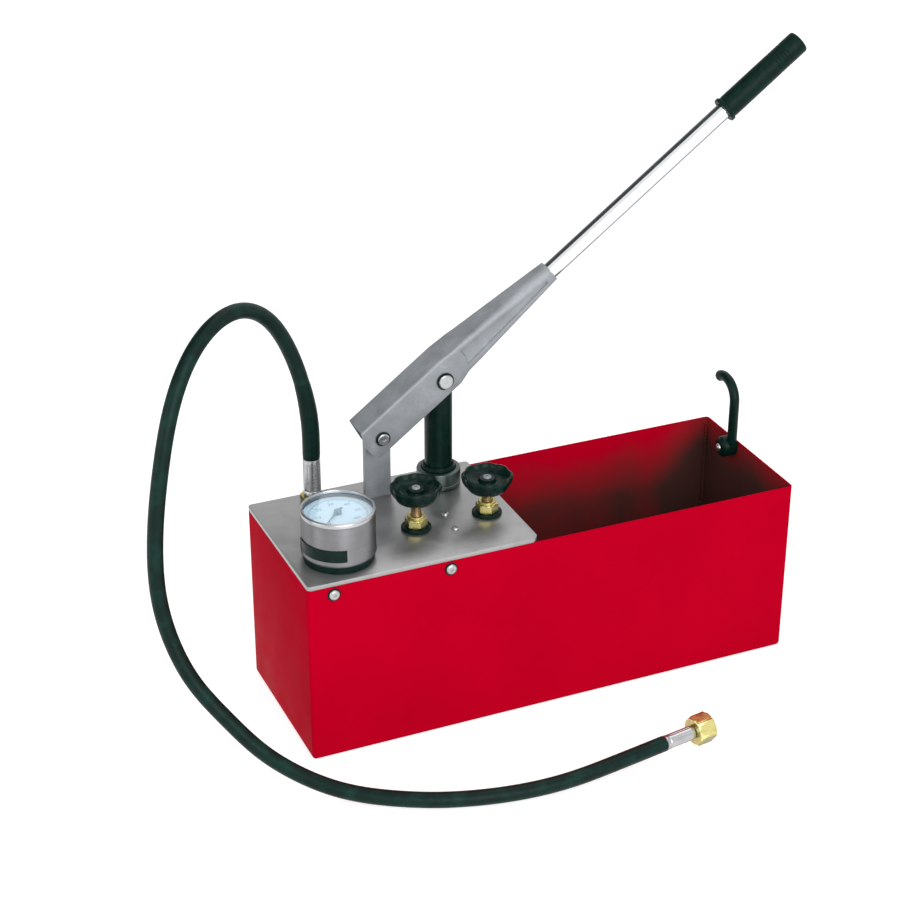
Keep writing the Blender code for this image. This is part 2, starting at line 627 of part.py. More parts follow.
def make_foot_valve():
    seat = FOOT_SEAT_HEIGHT
    top = CYLINDER_BOTTOM - GAP
    centre = seat + ball_drop(FOOT_BALL, FOOT_SEAT_RADIUS)
    cage = centre + FOOT_BALL + FOOT_LIFT + GAP
    profile = [(BORE - GAP, top + FOOT_SPIGOT), (BORE - GAP, top), (CYLINDER_RADIUS, top),
               (CYLINDER_RADIUS, top - FOOT_FLANGE_HEIGHT), (FOOT_BODY_RADIUS, top - FOOT_FLANGE_HEIGHT),
               (FOOT_BODY_RADIUS, STRAINER_TOP + GAP), (FOOT_STEM_RADIUS, STRAINER_TOP + GAP),
               (FOOT_STEM_RADIUS, FOOT_STEM_BOTTOM), (FOOT_SEAT_RADIUS, FOOT_STEM_BOTTOM),
               (FOOT_SEAT_RADIUS, seat), (FOOT_CAGE_RADIUS, seat), (FOOT_CAGE_RADIUS, cage),
               (FOOT_CAGE_PORT, cage), (FOOT_CAGE_PORT, top + FOOT_SPIGOT)]
    turned("foot_valve", profile, BRASS, (PISTON_X, PUMP_Y, 0), ring=True)
    ball("suction_ball", (PISTON_X, PUMP_Y, centre), FOOT_BALL)


def make_strainer():
    bottom = STRAINER_BOTTOM
    floor = bottom + STRAINER_WALL
    inner = STRAINER_RADIUS - STRAINER_WALL
    mouth = FOOT_STEM_RADIUS + GAP
    profile = [(0.0, floor), (inner, floor), (inner, STRAINER_TOP - STRAINER_WALL),
               (mouth, STRAINER_TOP - STRAINER_WALL), (mouth, STRAINER_TOP),
               (STRAINER_RADIUS, STRAINER_TOP), (STRAINER_RADIUS, bottom), (0.0, bottom)]
    strainer = turned("suction_strainer", profile, BRASS, (PISTON_X, PUMP_Y, 0))
    for layer in range(STRAINER_SLOT_LAYERS):
        turn = Matrix.Rotation(math.pi * layer / STRAINER_SLOT_LAYERS, 4, "Z")
        slot = box(f"strainer_slot_{layer}",
                   (-STRAINER_RADIUS - OVERRUN, -STRAINER_SLOT / 2, bottom + STRAINER_SLOT_MARGIN),
                   (STRAINER_RADIUS + OVERRUN, STRAINER_SLOT / 2, FOOT_STEM_BOTTOM - STRAINER_WALL),
                   BRASS)
        height = slot.location.z
        slot.matrix_world = Matrix.Translation((PISTON_X, PUMP_Y, height)) @ turn
        boolean(strainer, slot)


def make_return_pipe():
    top = BLOCK_BOTTOM - GAP
    outer = RETURN_RADIUS
    profile = [(RETURN_FLANGE, top), (RETURN_FLANGE, top - FLANGE_SHEET), (outer, top - FLANGE_SHEET),
               (outer, RETURN_BOTTOM), (outer - RETURN_WALL, RETURN_BOTTOM), (outer - RETURN_WALL, top)]
    turned("return_pipe", profile, BRASS, (VALVE_XS["right"], VALVE_Y, 0), steps=SMALL_STEPS, ring=True)


# Rocking link and its bracket under the plate
BRACKET_REACH = 0.0180
BRACKET_HALF_DEPTH = 0.0150
LINK_END_CLEARANCE = 0.0020
PIN_RADIUS = 0.0048
PISTON_PIN_RADIUS = 0.0055
PIN_HEAD_RADIUS = 0.0075
PIN_HEAD_HEIGHT = 0.0025
PIN_EDGE = 0.0008
CHANNEL_HALF_WIDTH = 0.0170
CHANNEL_SHEET = 0.0025
BOSS_RADIUS = 0.0100


def make_link_bracket():
    low = ROCKER_HEIGHT - LINK_WIDTH / 2 - LINK_END_CLEARANCE - CHANNEL_SHEET
    bracket = box("link_bracket", (FULCRUM_X - BRACKET_REACH, PUMP_Y - BRACKET_HALF_DEPTH, low),
                  (FULCRUM_X + BRACKET_REACH, PUMP_Y + BRACKET_HALF_DEPTH, BLOCK_TOP), STEEL)
    half = LINK_THICKNESS / 2 + LINK_SLOT_CLEARANCE
    slot = box("bracket_slot", (FULCRUM_X - BRACKET_REACH - OVERRUN, PUMP_Y - half, low + CHANNEL_SHEET),
               (FULCRUM_X + BRACKET_REACH + OVERRUN, PUMP_Y + half, BLOCK_TOP + OVERRUN), STEEL)
    boolean(bracket, slot)
    reach = BRACKET_HALF_DEPTH + OVERRUN
    hole = rod("bracket_hole", (FULCRUM_X, PUMP_Y - reach, ROCKER_HEIGHT),
               (FULCRUM_X, PUMP_Y + reach, ROCKER_HEIGHT), PIN_RADIUS + GAP, STEEL)
    boolean(bracket, hole)
    cross_pin("rocker_pin", FULCRUM_X, ROCKER_HEIGHT, PIN_RADIUS, BRACKET_HALF_DEPTH, PIN_HEAD_HEIGHT)


def cross_pin(name, x, z, radius, half, stand):
    """A pin along Y with its head at the back, standing out in front by stand."""
    profile = [(0.0, half + GAP + PIN_HEAD_HEIGHT),
               (PIN_HEAD_RADIUS - PIN_EDGE, half + GAP + PIN_HEAD_HEIGHT),
               (PIN_HEAD_RADIUS, half + GAP + PIN_HEAD_HEIGHT - PIN_EDGE), (PIN_HEAD_RADIUS, half + GAP),
               (radius, half + GAP), (radius, -half - stand + PIN_EDGE),
               (radius - PIN_EDGE, -half - stand), (0.0, -half - stand)]
    turned(name, profile, STEEL, (x, PUMP_Y, z), (0, 1, 0), ROUND_STEPS)


def make_link():
    height = FULCRUM_HEIGHT - ROCKER_HEIGHT
    radius = LINK_WIDTH / 2
    outline = arc((0, height), radius, 0, math.pi, 12) + arc((0, 0), radius, math.pi, 2 * math.pi, 12)
    upright = Matrix.Rotation(math.radians(90), 4, "X")
    link = slab("rocking_link", outline, LINK_THICKNESS, STEEL,
                (FULCRUM_X, PUMP_Y, ROCKER_HEIGHT), upright)
    reach = CHANNEL_HALF_WIDTH - CHANNEL_SHEET - LINK_SLOT_CLEARANCE
    boss = rod("link_boss", (FULCRUM_X, PUMP_Y - reach, FULCRUM_HEIGHT),
               (FULCRUM_X, PUMP_Y + reach, FULCRUM_HEIGHT), BOSS_RADIUS, STEEL)
    boolean(link, boss, "UNION")
    for name, z in (("top", FULCRUM_HEIGHT), ("bottom", ROCKER_HEIGHT)):
        hole = rod(f"link_hole_{name}", (FULCRUM_X, PUMP_Y - reach - OVERRUN, z),
                   (FULCRUM_X, PUMP_Y + reach + OVERRUN, z), PIN_RADIUS + GAP, STEEL)
        boolean(link, hole)


# Lever: a folded channel, a tube and a grip. Along runs from the fulcrum pin towards the grip,
# and across runs square to it, upwards.
TOE_TOP = -0.0120
TOE_BOTTOM = -0.0182
TOE_ROUND = 0.0075
CHEEK_END = 0.0920
NECK_START = 0.1040
CHANNEL_END = 0.2270
CHANNEL_TOP = 0.0205
CHANNEL_NECK_TOP = 0.0193
CHANNEL_LOW = -0.0143
CHANNEL_NECK_LOW = -0.0105
CHANNEL_END_LOW = -0.0050
CHANNEL_FOLD = 0.0028
CHANNEL_END_FLAT = 0.0010
FOLD_STEPS = 4
TUBE_RADIUS = 0.0083
TUBE_WALL = 0.0015
TUBE_START = 0.1600
GRIP_END = 0.5560
GRIP_LENGTH = 0.1010
GRIP_END_WALL = 0.0080
GRIP_START = GRIP_END - GRIP_LENGTH
TUBE_END = GRIP_END - GRIP_END_WALL
GRIP_RADIUS = 0.0130
GRIP_TIP_RADIUS = 0.0112
GRIP_ROUND = 0.0025
CLIP_THICKNESS = 0.0012
FULCRUM_CLIP_RADIUS = 0.0074
PISTON_CLIP_RADIUS = 0.0087
CLIP_STAND = 0.0022
RECESS_START = 0.1070
RECESS_END = 0.2170
RECESS_DEPTH = 0.0008
RECESS_TOP = 0.0135
RECESS_END_TOP = 0.0030
RECESS_LOW = -0.0060
RECESS_END_LOW = -0.0032
CHANNEL_END_HALF = TUBE_RADIUS + GAP + CHANNEL_SHEET
LEVER_FRAME = (Matrix.Translation((FULCRUM_X, PUMP_Y, FULCRUM_HEIGHT))
               @ Matrix.Rotation(-LEVER_ANGLE, 4, "Y"))
LEVER_DIRECTION = (math.cos(LEVER_ANGLE), 0, math.sin(LEVER_ANGLE))


def lever_point(along, across=0.0, side=0.0):
    return LEVER_FRAME @ Vector((along, side, across))


def channel_rows():
    """Rows across the folded sheet, each as (along, side, across), from the toe to the tube."""
    half = CHANNEL_HALF_WIDTH
    end = CHANNEL_END_HALF
    middle = (CHANNEL_TOP + CHANNEL_LOW) / 2
    toe_low = CHANNEL_LOW + TOE_ROUND
    stations = [
        ((TOE_TOP, TOE_BOTTOM, TOE_BOTTOM), half, (CHANNEL_TOP, middle, toe_low), CHANNEL_FOLD),
        ((TOE_TOP + TOE_ROUND, TOE_BOTTOM + TOE_ROUND, TOE_BOTTOM + TOE_ROUND), half,
         (CHANNEL_TOP, middle, CHANNEL_LOW), CHANNEL_FOLD),
        ((CHEEK_END, CHEEK_END, CHEEK_END), half, (CHANNEL_TOP, middle, CHANNEL_LOW), CHANNEL_FOLD),
        ((NECK_START, NECK_START, NECK_START), half,
         (CHANNEL_NECK_TOP, middle, CHANNEL_NECK_LOW), CHANNEL_FOLD),
        ((CHANNEL_END, CHANNEL_END, CHANNEL_END), end, (end, 0.0, CHANNEL_END_LOW),
         end - CHANNEL_END_FLAT),
    ]
    rows = []
    for alongs, width, heights, fold in stations:
        bend = arc((width - fold, heights[0] - fold), fold, 0, math.pi / 2, FOLD_STEPS)
        far = [Vector((alongs[2], width, heights[2])), Vector((alongs[1], width, heights[1]))]
        far += [Vector((alongs[0], side, across)) for side, across in bend]
        near = [Vector((point.x, -point.y, point.z)) for point in far]
        rows.append(near + far[::-1])
    return rows


def make_lever_channel():
    rows = channel_rows()
    bm = bmesh.new()
    bmesh.ops.create_grid(bm, x_segments=len(rows) - 1, y_segments=len(rows[0]) - 1, size=1.0)
    xs = sorted({round(v.co.x, 4) for v in bm.verts})
    ys = sorted({round(v.co.y, 4) for v in bm.verts})
    for vert in bm.verts:
        vert.co = rows[xs.index(round(vert.co.x, 4))][ys.index(round(vert.co.y, 4))]
    bmesh.ops.recalc_face_normals(bm, faces=bm.faces)
    web = max(bm.faces, key=lambda face: face.calc_center_median().z)
    if web.normal.z < 0:
        bmesh.ops.reverse_faces(bm, faces=bm.faces)
    channel = add_object("lever_channel", mesh_from(bm, "lever_channel"), ZINC)
    channel.matrix_world = LEVER_FRAME
    wall = channel.modifiers.new("wall", "SOLIDIFY")
    wall.thickness = CHANNEL_SHEET
    wall.offset = -1.0
    wall.use_even_offset = True
    reach = CHANNEL_HALF_WIDTH + OVERRUN
    pins = (("fulcrum", 0.0, PIN_RADIUS), ("piston", PIN_SPACING, PISTON_PIN_RADIUS))
    for name, along, radius in pins:
        hole = rod(f"channel_hole_{name}", lever_point(along, 0.0, -reach), lever_point(along, 0.0, reach),
                   radius + GAP, ZINC)
        boolean(channel, hole)
    taper = math.atan2(CHANNEL_HALF_WIDTH - CHANNEL_END_HALF, CHANNEL_END - NECK_START)
    share = (RECESS_START - NECK_START) / (CHANNEL_END - NECK_START)
    start_half = CHANNEL_HALF_WIDTH - (CHANNEL_HALF_WIDTH - CHANNEL_END_HALF) * share
    length = RECESS_END - RECESS_START
    outline = [(0.0, RECESS_LOW), (length, RECESS_END_LOW), (length, RECESS_END_TOP),
               (0.0, RECESS_TOP)]
    for side, sign in (("front", -1), ("back", 1)):
        sheet = slab(f"channel_recess_{side}", outline, RECESS_DEPTH * 2, ZINC)
        lift = Matrix.Translation((RECESS_START, sign * start_half, 0.0))
        sheet.matrix_world = (LEVER_FRAME @ lift @ Matrix.Rotation(-sign * taper, 4, "Z")
                              @ Matrix.Rotation(math.radians(90), 4, "X"))
        boolean(channel, sheet)


def make_lever():
    make_lever_channel()
    outer = TUBE_RADIUS
    turned("lever_tube", tube_profile(outer, outer - TUBE_WALL, TUBE_START, TUBE_END), CHROME,
           lever_point(0.0), LEVER_DIRECTION, ring=True)
    grip = [(0.0, GRIP_END), (GRIP_TIP_RADIUS - GRIP_ROUND, GRIP_END),
            (GRIP_TIP_RADIUS, GRIP_END - GRIP_ROUND), (GRIP_RADIUS, GRIP_START + GRIP_ROUND),
            (GRIP_RADIUS - GRIP_ROUND / 2, GRIP_START), (outer + GAP, GRIP_START),
            (outer + GAP, TUBE_END + GAP), (0.0, TUBE_END + GAP)]
    turned("lever_grip", grip, BLACK_RUBBER, lever_point(0.0), LEVER_DIRECTION)
    half = CHANNEL_HALF_WIDTH
    stand = GAP + CLIP_THICKNESS + CLIP_STAND
    cross_pin("fulcrum_pin", FULCRUM_X, FULCRUM_HEIGHT, PIN_RADIUS, half, stand)
    cross_pin("piston_pin", PISTON_X, PISTON_PIN_HEIGHT, PISTON_PIN_RADIUS, half, stand)
    clips = (("fulcrum_clip", FULCRUM_X, FULCRUM_HEIGHT, PIN_RADIUS, FULCRUM_CLIP_RADIUS),
             ("piston_clip", PISTON_X, PISTON_PIN_HEIGHT, PISTON_PIN_RADIUS, PISTON_CLIP_RADIUS))
    for name, x, z, inner, outer in clips:
        turned(name, tube_profile(outer, inner + GAP, GAP, GAP + CLIP_THICKNESS), BLACK_COAT,
               (x, PUMP_Y - half, z), (0, -1, 0), SMALL_STEPS + PIN_STEPS, ring=True)


# Pressure gauge
GAUGE_RADIUS = 0.0350
GAUGE_BASE_RADIUS = 0.0332
GAUGE_BASE_HEIGHT = 0.0070
GAUGE_RISE = 0.0530
GAUGE_TOP = HEAD_HEIGHT + GAUGE_RISE
GAUGE_WALL = 0.0012
GAUGE_FLOOR = 0.0020
BEZEL_HEIGHT = 0.0045
BEZEL_OVERLAP = 0.0010
BEZEL_LIP = 0.0015
BEZEL_EDGE = 0.0010
GLASS_THICKNESS = 0.0020
GLASS_MARGIN = 0.0005
DIAL_DROP = 0.0085
DIAL_THICKNESS = 0.0010
SOCKET_HEAD_RADIUS = 0.0100
SOCKET_HEAD_HEIGHT = 0.0100
POST_RADIUS = 0.0045
POST_DROP = 0.0010
POST_BORE = 0.0060
ARBOR_RADIUS = 0.0015
POINTER_HUB_RADIUS = 0.0035
POINTER_HUB_HEIGHT = 0.0030
POINTER_LENGTH = 0.0220
POINTER_TAIL = 0.0080
POINTER_HALF_WIDTH = 0.0012
POINTER_TIP = 0.0003
POINTER_THICKNESS = 0.0008
POINTER_LIFT = 0.0012
POINTER_REST = math.radians(225)
BOURDON_RADIUS = 0.0235
BOURDON_TUBE = 0.0030
BOURDON_TURN = math.radians(255)
LABEL_START = math.radians(-190.5)
LABEL_TURN = math.radians(92.8)
LABEL_HEIGHT = 0.0120
LABEL_LIFT = 0.0065
LABEL_THICKNESS = 0.0004
GAUGE_BOTTOM = SEAT + GAUGE_BASE_HEIGHT + GAP


def make_gauge():
    place = (GAUGE_X, GAUGE_Y, 0)
    hole = SOCKET_RADIUS + GAP
    turned("gauge_gasket", tube_profile(GAUGE_BASE_RADIUS, hole, SEAT, SEAT + GAUGE_BASE_HEIGHT),
           BLACK_RUBBER, place, steps=FINE_STEPS, ring=True)
    bezel_low = GAUGE_TOP - BEZEL_HEIGHT
    wall_top = bezel_low - GAP
    inner = GAUGE_RADIUS - GAUGE_WALL
    housing = [(GAUGE_RADIUS, wall_top), (GAUGE_RADIUS, GAUGE_BOTTOM), (hole, GAUGE_BOTTOM),
               (hole, GAUGE_BOTTOM + GAUGE_FLOOR), (inner, GAUGE_BOTTOM + GAUGE_FLOOR), (inner, wall_top)]
    turned("gauge_housing", housing, STEEL, place, steps=FINE_STEPS, ring=True)
    glass_radius = inner - GLASS_MARGIN
    opening = glass_radius - BEZEL_OVERLAP
    ledge = GAUGE_TOP - BEZEL_LIP
    bezel = [(GAUGE_RADIUS - BEZEL_EDGE, GAUGE_TOP), (GAUGE_RADIUS, GAUGE_TOP - BEZEL_EDGE),
             (GAUGE_RADIUS, bezel_low), (glass_radius + GAP, bezel_low), (glass_radius + GAP, ledge),
             (opening, ledge), (opening, GAUGE_TOP)]
    turned("gauge_bezel", bezel, STEEL, place, steps=FINE_STEPS, ring=True)
    glass_top = ledge - GAP
    rod("gauge_glass", (GAUGE_X, GAUGE_Y, glass_top - GLASS_THICKNESS),
        (GAUGE_X, GAUGE_Y, glass_top), glass_radius, CLEAR_GLASS, FINE_STEPS)
    dial_top = GAUGE_TOP - DIAL_DROP
    dial_radius = inner - GAP
    turned("gauge_dial",
           tube_profile(dial_radius, ARBOR_RADIUS + GAP, dial_top - DIAL_THICKNESS, dial_top),
           DIAL_WHITE, place, steps=FINE_STEPS, ring=True)
    floor = GAUGE_BOTTOM + GAUGE_FLOOR + GAP
    head_top = floor + SOCKET_HEAD_HEIGHT
    post_top = dial_top - DIAL_THICKNESS - POST_DROP
    bearing = post_top - POST_BORE
    bore = ARBOR_RADIUS + GAP
    socket = [(0.0, bearing), (bore, bearing), (bore, post_top), (POST_RADIUS, post_top),
              (POST_RADIUS, head_top), (SOCKET_HEAD_RADIUS, head_top), (SOCKET_HEAD_RADIUS, floor),
              (SOCKET_RADIUS, floor), (SOCKET_RADIUS, BLOCK_TOP - PORT_DEPTH),
              (0.0, BLOCK_TOP - PORT_DEPTH)]
    turned("gauge_socket", socket, BRASS, place, steps=SMALL_STEPS)
    make_gauge_works(head_top, dial_top, bearing + GAP)
    make_gauge_label()


def make_gauge_works(head_top, dial_top, arbor_end):
    height = head_top - SOCKET_HEAD_HEIGHT / 2
    root = SOCKET_HEAD_RADIUS + GAP
    ease = BOURDON_RADIUS - BOURDON_TUBE * 2
    points = [(GAUGE_X, GAUGE_Y + root, height), (GAUGE_X, GAUGE_Y + ease, height)]
    start = math.radians(102)
    for x, y in arc((GAUGE_X, GAUGE_Y), BOURDON_RADIUS, start, start + BOURDON_TURN, 22):
        points.append((x, y, height))
    wire("bourdon_tube", points, BOURDON_TUBE, BRASS, 1)
    top = dial_top + POINTER_LIFT
    hub = [(0.0, top + POINTER_HUB_HEIGHT), (POINTER_HUB_RADIUS, top + POINTER_HUB_HEIGHT),
           (POINTER_HUB_RADIUS, top), (ARBOR_RADIUS, top), (ARBOR_RADIUS, arbor_end),
           (0.0, arbor_end)]
    pointer = turned("gauge_pointer", hub, BLACK_PLASTIC, (GAUGE_X, GAUGE_Y, 0), steps=SMALL_STEPS)
    outline = [(-POINTER_TAIL, -POINTER_HALF_WIDTH), (POINTER_LENGTH, -POINTER_TIP),
               (POINTER_LENGTH, POINTER_TIP), (-POINTER_TAIL, POINTER_HALF_WIDTH)]
    needle = slab("gauge_needle", outline, POINTER_THICKNESS, BLACK_PLASTIC,
                  (GAUGE_X, GAUGE_Y, top + POINTER_HUB_HEIGHT / 2), Matrix.Rotation(POINTER_REST, 4, "Z"))
    boolean(pointer, needle, "UNION")


def make_gauge_label():
    bm = bmesh.new()
    radius = GAUGE_RADIUS + GAP
    low = GAUGE_BOTTOM + LABEL_LIFT
    turn = Matrix.Rotation(LABEL_START, 4, "Z")
    ends = [bm.verts.new(turn @ Vector((radius, 0, height))) for height in (low, low + LABEL_HEIGHT)]
    edge = bm.edges.new(ends)
    bmesh.ops.spin(bm, geom=ends + [edge], cent=(0, 0, 0), axis=(0, 0, 1), angle=LABEL_TURN, steps=12)
    first = next(iter(bm.faces))
    bm.normal_update()
    if first.normal.dot(first.calc_center_median() * Vector((1, 1, 0))) < 0:
        bmesh.ops.reverse_faces(bm, faces=bm.faces)
    label = add_object("gauge_label", mesh_from(bm, "gauge_label"), BLACK_PLASTIC, (GAUGE_X, GAUGE_Y, 0))
    wall = label.modifiers.new("wall", "SOLIDIFY")
    wall.thickness = LABEL_THICKNESS
    wall.offset = 1.0


# Shut-off and release valves
WASHER_RADIUS = 0.0145
WASHER_HEIGHT = 0.0030
BONNET_RADIUS = 0.0110
BONNET_HEX_HEIGHT = 0.0085
BONNET_COLLAR_RADIUS = 0.0085
BONNET_COLLAR_HEIGHT = 0.0030
KNOB_RADIUS = 0.0250
KNOB_RIM_HEIGHT = 0.0090
KNOB_RIM_WIDTH = 0.0040
KNOB_RIM_EDGE = 0.0015
KNOB_DISH_DEPTH = 0.0060
KNOB_HUB_RADIUS = 0.0110
KNOB_CROWN_RADIUS = 0.0080
KNOB_CROWN_DROP = 0.0035
KNOB_HEIGHT = 0.0200
KNOB_BORE_DROP = 0.0085
KNOB_SCREW_RADIUS = 0.0020
KNOB_SCREW_HEAD = 0.0042
KNOB_SCREW_HEAD_HEIGHT = 0.0018
KNOB_LOBES = 8
KNOB_SCALLOP_RADIUS = 0.0070
KNOB_SCALLOP_DEPTH = 0.0022
KNOB_RISES = {"left": 0.0468, "right": 0.0426}
SPINDLE_SEAT = 0.0020
VALVE_LIFTS = {"left": 0.0042, "right": 0.0}
SPINDLE_TIP = 0.0025


def make_valve(side):
    x = VALVE_XS[side]
    washer_top = SEAT + WASHER_HEIGHT
    turned(f"valve_washer_{side}",
           tube_profile(WASHER_RADIUS, SHANK_RADIUS + GAP, SEAT, washer_top, WASHER_HEIGHT / 4),
           BLACK_RUBBER, (x, VALVE_Y, 0), ring=True)
    hex_low = washer_top + GAP
    hex_top = hex_low + BONNET_HEX_HEIGHT
    bonnet_top = hex_top + BONNET_COLLAR_HEIGHT
    bore = SPINDLE_RADIUS + GAP
    shank_low = BLOCK_TOP - PORT_DEPTH
    shell = [(BONNET_COLLAR_RADIUS, bonnet_top), (BONNET_COLLAR_RADIUS, hex_low + SINK),
             (SHANK_RADIUS, hex_low + SINK), (SHANK_RADIUS, shank_low), (bore, shank_low),
             (bore, bonnet_top)]
    bonnet = turned(f"valve_bonnet_{side}", shell, BRASS, (x, VALVE_Y, 0), ring=True)
    flats = rod(f"bonnet_hex_{side}", (x, VALVE_Y, hex_low), (x, VALVE_Y, hex_top), BONNET_RADIUS,
                BRASS, 6)
    flats_bore = rod(f"bonnet_hex_bore_{side}", (x, VALVE_Y, hex_low - OVERRUN),
                     (x, VALVE_Y, hex_top + OVERRUN), SHANK_RADIUS - SINK, BRASS)
    boolean(flats, flats_bore)
    boolean(bonnet, flats, "UNION")
    top = HEAD_HEIGHT + KNOB_RISES[side]
    spindle_top = top - KNOB_BORE_DROP - GAP
    tip = BLOCK_TOP - VALVE_BORE_DEPTH + SPINDLE_SEAT + VALVE_LIFTS[side]
    spindle = [(0.0, spindle_top), (SPINDLE_RADIUS, spindle_top), (SPINDLE_RADIUS, tip + SPINDLE_TIP),
               (SPINDLE_RADIUS - SPINDLE_TIP, tip), (0.0, tip)]
    turned(f"valve_spindle_{side}", spindle, BRASS, (x, VALVE_Y, 0), steps=SMALL_STEPS)
    knob_bottom = top - KNOB_HEIGHT
    rim = KNOB_RADIUS
    dish = rim - KNOB_RIM_WIDTH
    crown = top - KNOB_CROWN_DROP
    hub_bore = SPINDLE_RADIUS + GAP
    screw_bore = KNOB_SCREW_RADIUS + GAP
    profile = [(rim - KNOB_RIM_EDGE, top), (rim, top - KNOB_RIM_EDGE), (rim, top - KNOB_RIM_HEIGHT),
               (KNOB_HUB_RADIUS, knob_bottom), (hub_bore, knob_bottom),
               (hub_bore, top - KNOB_BORE_DROP), (screw_bore, top - KNOB_BORE_DROP), (screw_bore, crown),
               (KNOB_CROWN_RADIUS, crown), (KNOB_CROWN_RADIUS, top - KNOB_DISH_DEPTH),
               (dish, top - KNOB_DISH_DEPTH), (dish, top)]
    knob = turned(f"valve_knob_{side}", profile, BLACK_PLASTIC, (x, VALVE_Y, 0), steps=FINE_STEPS,
                  ring=True)
    ring = rim + KNOB_SCALLOP_RADIUS - KNOB_SCALLOP_DEPTH
    for lobe in range(KNOB_LOBES):
        angle = 2 * math.pi * lobe / KNOB_LOBES
        cx = x + ring * math.cos(angle)
        cy = VALVE_Y + ring * math.sin(angle)
        scallop = rod(f"knob_scallop_{side}_{lobe}", (cx, cy, knob_bottom - OVERRUN),
                      (cx, cy, top + OVERRUN), KNOB_SCALLOP_RADIUS, BLACK_PLASTIC, SMALL_STEPS)
        boolean(knob, scallop)
    pan_screw(f"knob_screw_{side}", (x, VALVE_Y, crown), (0, 0, 1), KNOB_SCREW_HEAD,
              KNOB_SCREW_HEAD_HEIGHT, KNOB_SCREW_RADIUS, crown - spindle_top - GAP)


# Pressure hose. The route points are chosen by hand from the ferrule to the far fitting.
HOSE_RADIUS = 0.0075
ADAPTER_HEX_RADIUS = 0.0125
ADAPTER_HEX_HEIGHT = 0.0070
FERRULE_RADIUS = 0.0088
FERRULE_HEIGHT = 0.0390
FERRULE_EDGE = 0.0010
SLEEVE_RADIUS = 0.0086
SLEEVE_END_SHARE = 0.6
SLEEVE_BORE_SHARE = 0.9
END_HEADING = math.radians(7)
END_RISE = math.radians(2.5)
END_FERRULE_RADIUS = 0.0072
END_FERRULE_LENGTH = 0.0330
NIPPLE_RADIUS = 0.0050
NIPPLE_SHOULDER = 0.0085
NIPPLE_SHOULDER_LENGTH = 0.0040
HOSE_NUT_FLATS = 0.0260
HOSE_NUT_LENGTH = 0.0190
HOSE_NUT_BACK = 0.0040
HOSE_NUT_SOCKET = 0.0102
HOSE_POINT_STEP = 0.0300
ROUTE_FLOOR = 0.0075
ADAPTER_TOP = SEAT + ADAPTER_HEX_HEIGHT
FERRULE_TOP = ADAPTER_TOP + GAP + FERRULE_HEIGHT
HOSE_START = FERRULE_TOP + GAP
HOSE_ROUTE = [
    (-0.1935, 0.0690, 0.2369), (-0.1935, 0.0690, 0.2670), (-0.1985, 0.0715, 0.3110),
    (-0.2105, 0.0745, 0.3525), (-0.2325, 0.0700, 0.3890), (-0.2645, 0.0545, 0.4080),
    (-0.3000, 0.0340, 0.4025), (-0.3290, 0.0150, 0.3780), (-0.3490, 0.0000, 0.3430),
    (-0.3620, -0.0100, 0.3030), (-0.3715, -0.0175, 0.2615), (-0.3775, -0.0240, 0.2190),
    (-0.3785, -0.0320, 0.1765), (-0.3720, -0.0435, 0.1355), (-0.3580, -0.0595, 0.0985),
    (-0.3365, -0.0800, 0.0675), (-0.3125, -0.1045, 0.0410), (-0.2840, -0.1305, 0.0230),
    (-0.2510, -0.1560, 0.0125), (-0.2145, -0.1785, 0.0090), (-0.1755, -0.1970, 0.0080),
    (-0.1345, -0.2100, 0.0080), (-0.0920, -0.2170, 0.0080), (-0.0490, -0.2185, 0.0090),
    (-0.0060, -0.2150, 0.0110), (0.0520, -0.2080, 0.0135),
]


def placed_route(route):
    """The route, begun at the ferrule wherever that stands and lying on the floor at its low points."""
    first = route[0]
    climb = (HOSE_START - HOSE_RADIUS) / (first[2] - ROUTE_FLOOR)
    return [(x - first[0] + HOSE_X, y - first[1] + HOSE_Y, HOSE_RADIUS + (z - ROUTE_FLOOR) * climb)
            for x, y, z in route]


def smooth_route(route, spacing):
    """Evenly spaced points on a natural cubic spline through the route's points."""
    points = np.array(route)
    spans = np.linalg.norm(np.diff(points, axis=0), axis=1)
    knots = np.concatenate(([0.0], np.cumsum(spans)))
    slopes = np.diff(points, axis=0) / spans[:, None]
    system = np.eye(len(points))
    turns = np.zeros(points.shape)
    for i in range(1, len(points) - 1):
        system[i, i - 1:i + 2] = spans[i - 1], 2 * (spans[i - 1] + spans[i]), spans[i]
        turns[i] = 6 * (slopes[i] - slopes[i - 1])
    bends = np.linalg.solve(system, turns)
    count = max(2, round(knots[-1] / spacing))
    even = []
    for place in np.linspace(0.0, knots[-1], count + 1):
        i = min(int(np.searchsorted(knots, place, side="right")) - 1, len(spans) - 1)
        left = (knots[i + 1] - place) / spans[i]
        right = 1 - left
        bow = (left ** 3 - left) * bends[i] + (right ** 3 - right) * bends[i + 1]
        even.append(Vector(left * points[i] + right * points[i + 1] + bow * spans[i] ** 2 / 6))
    return even


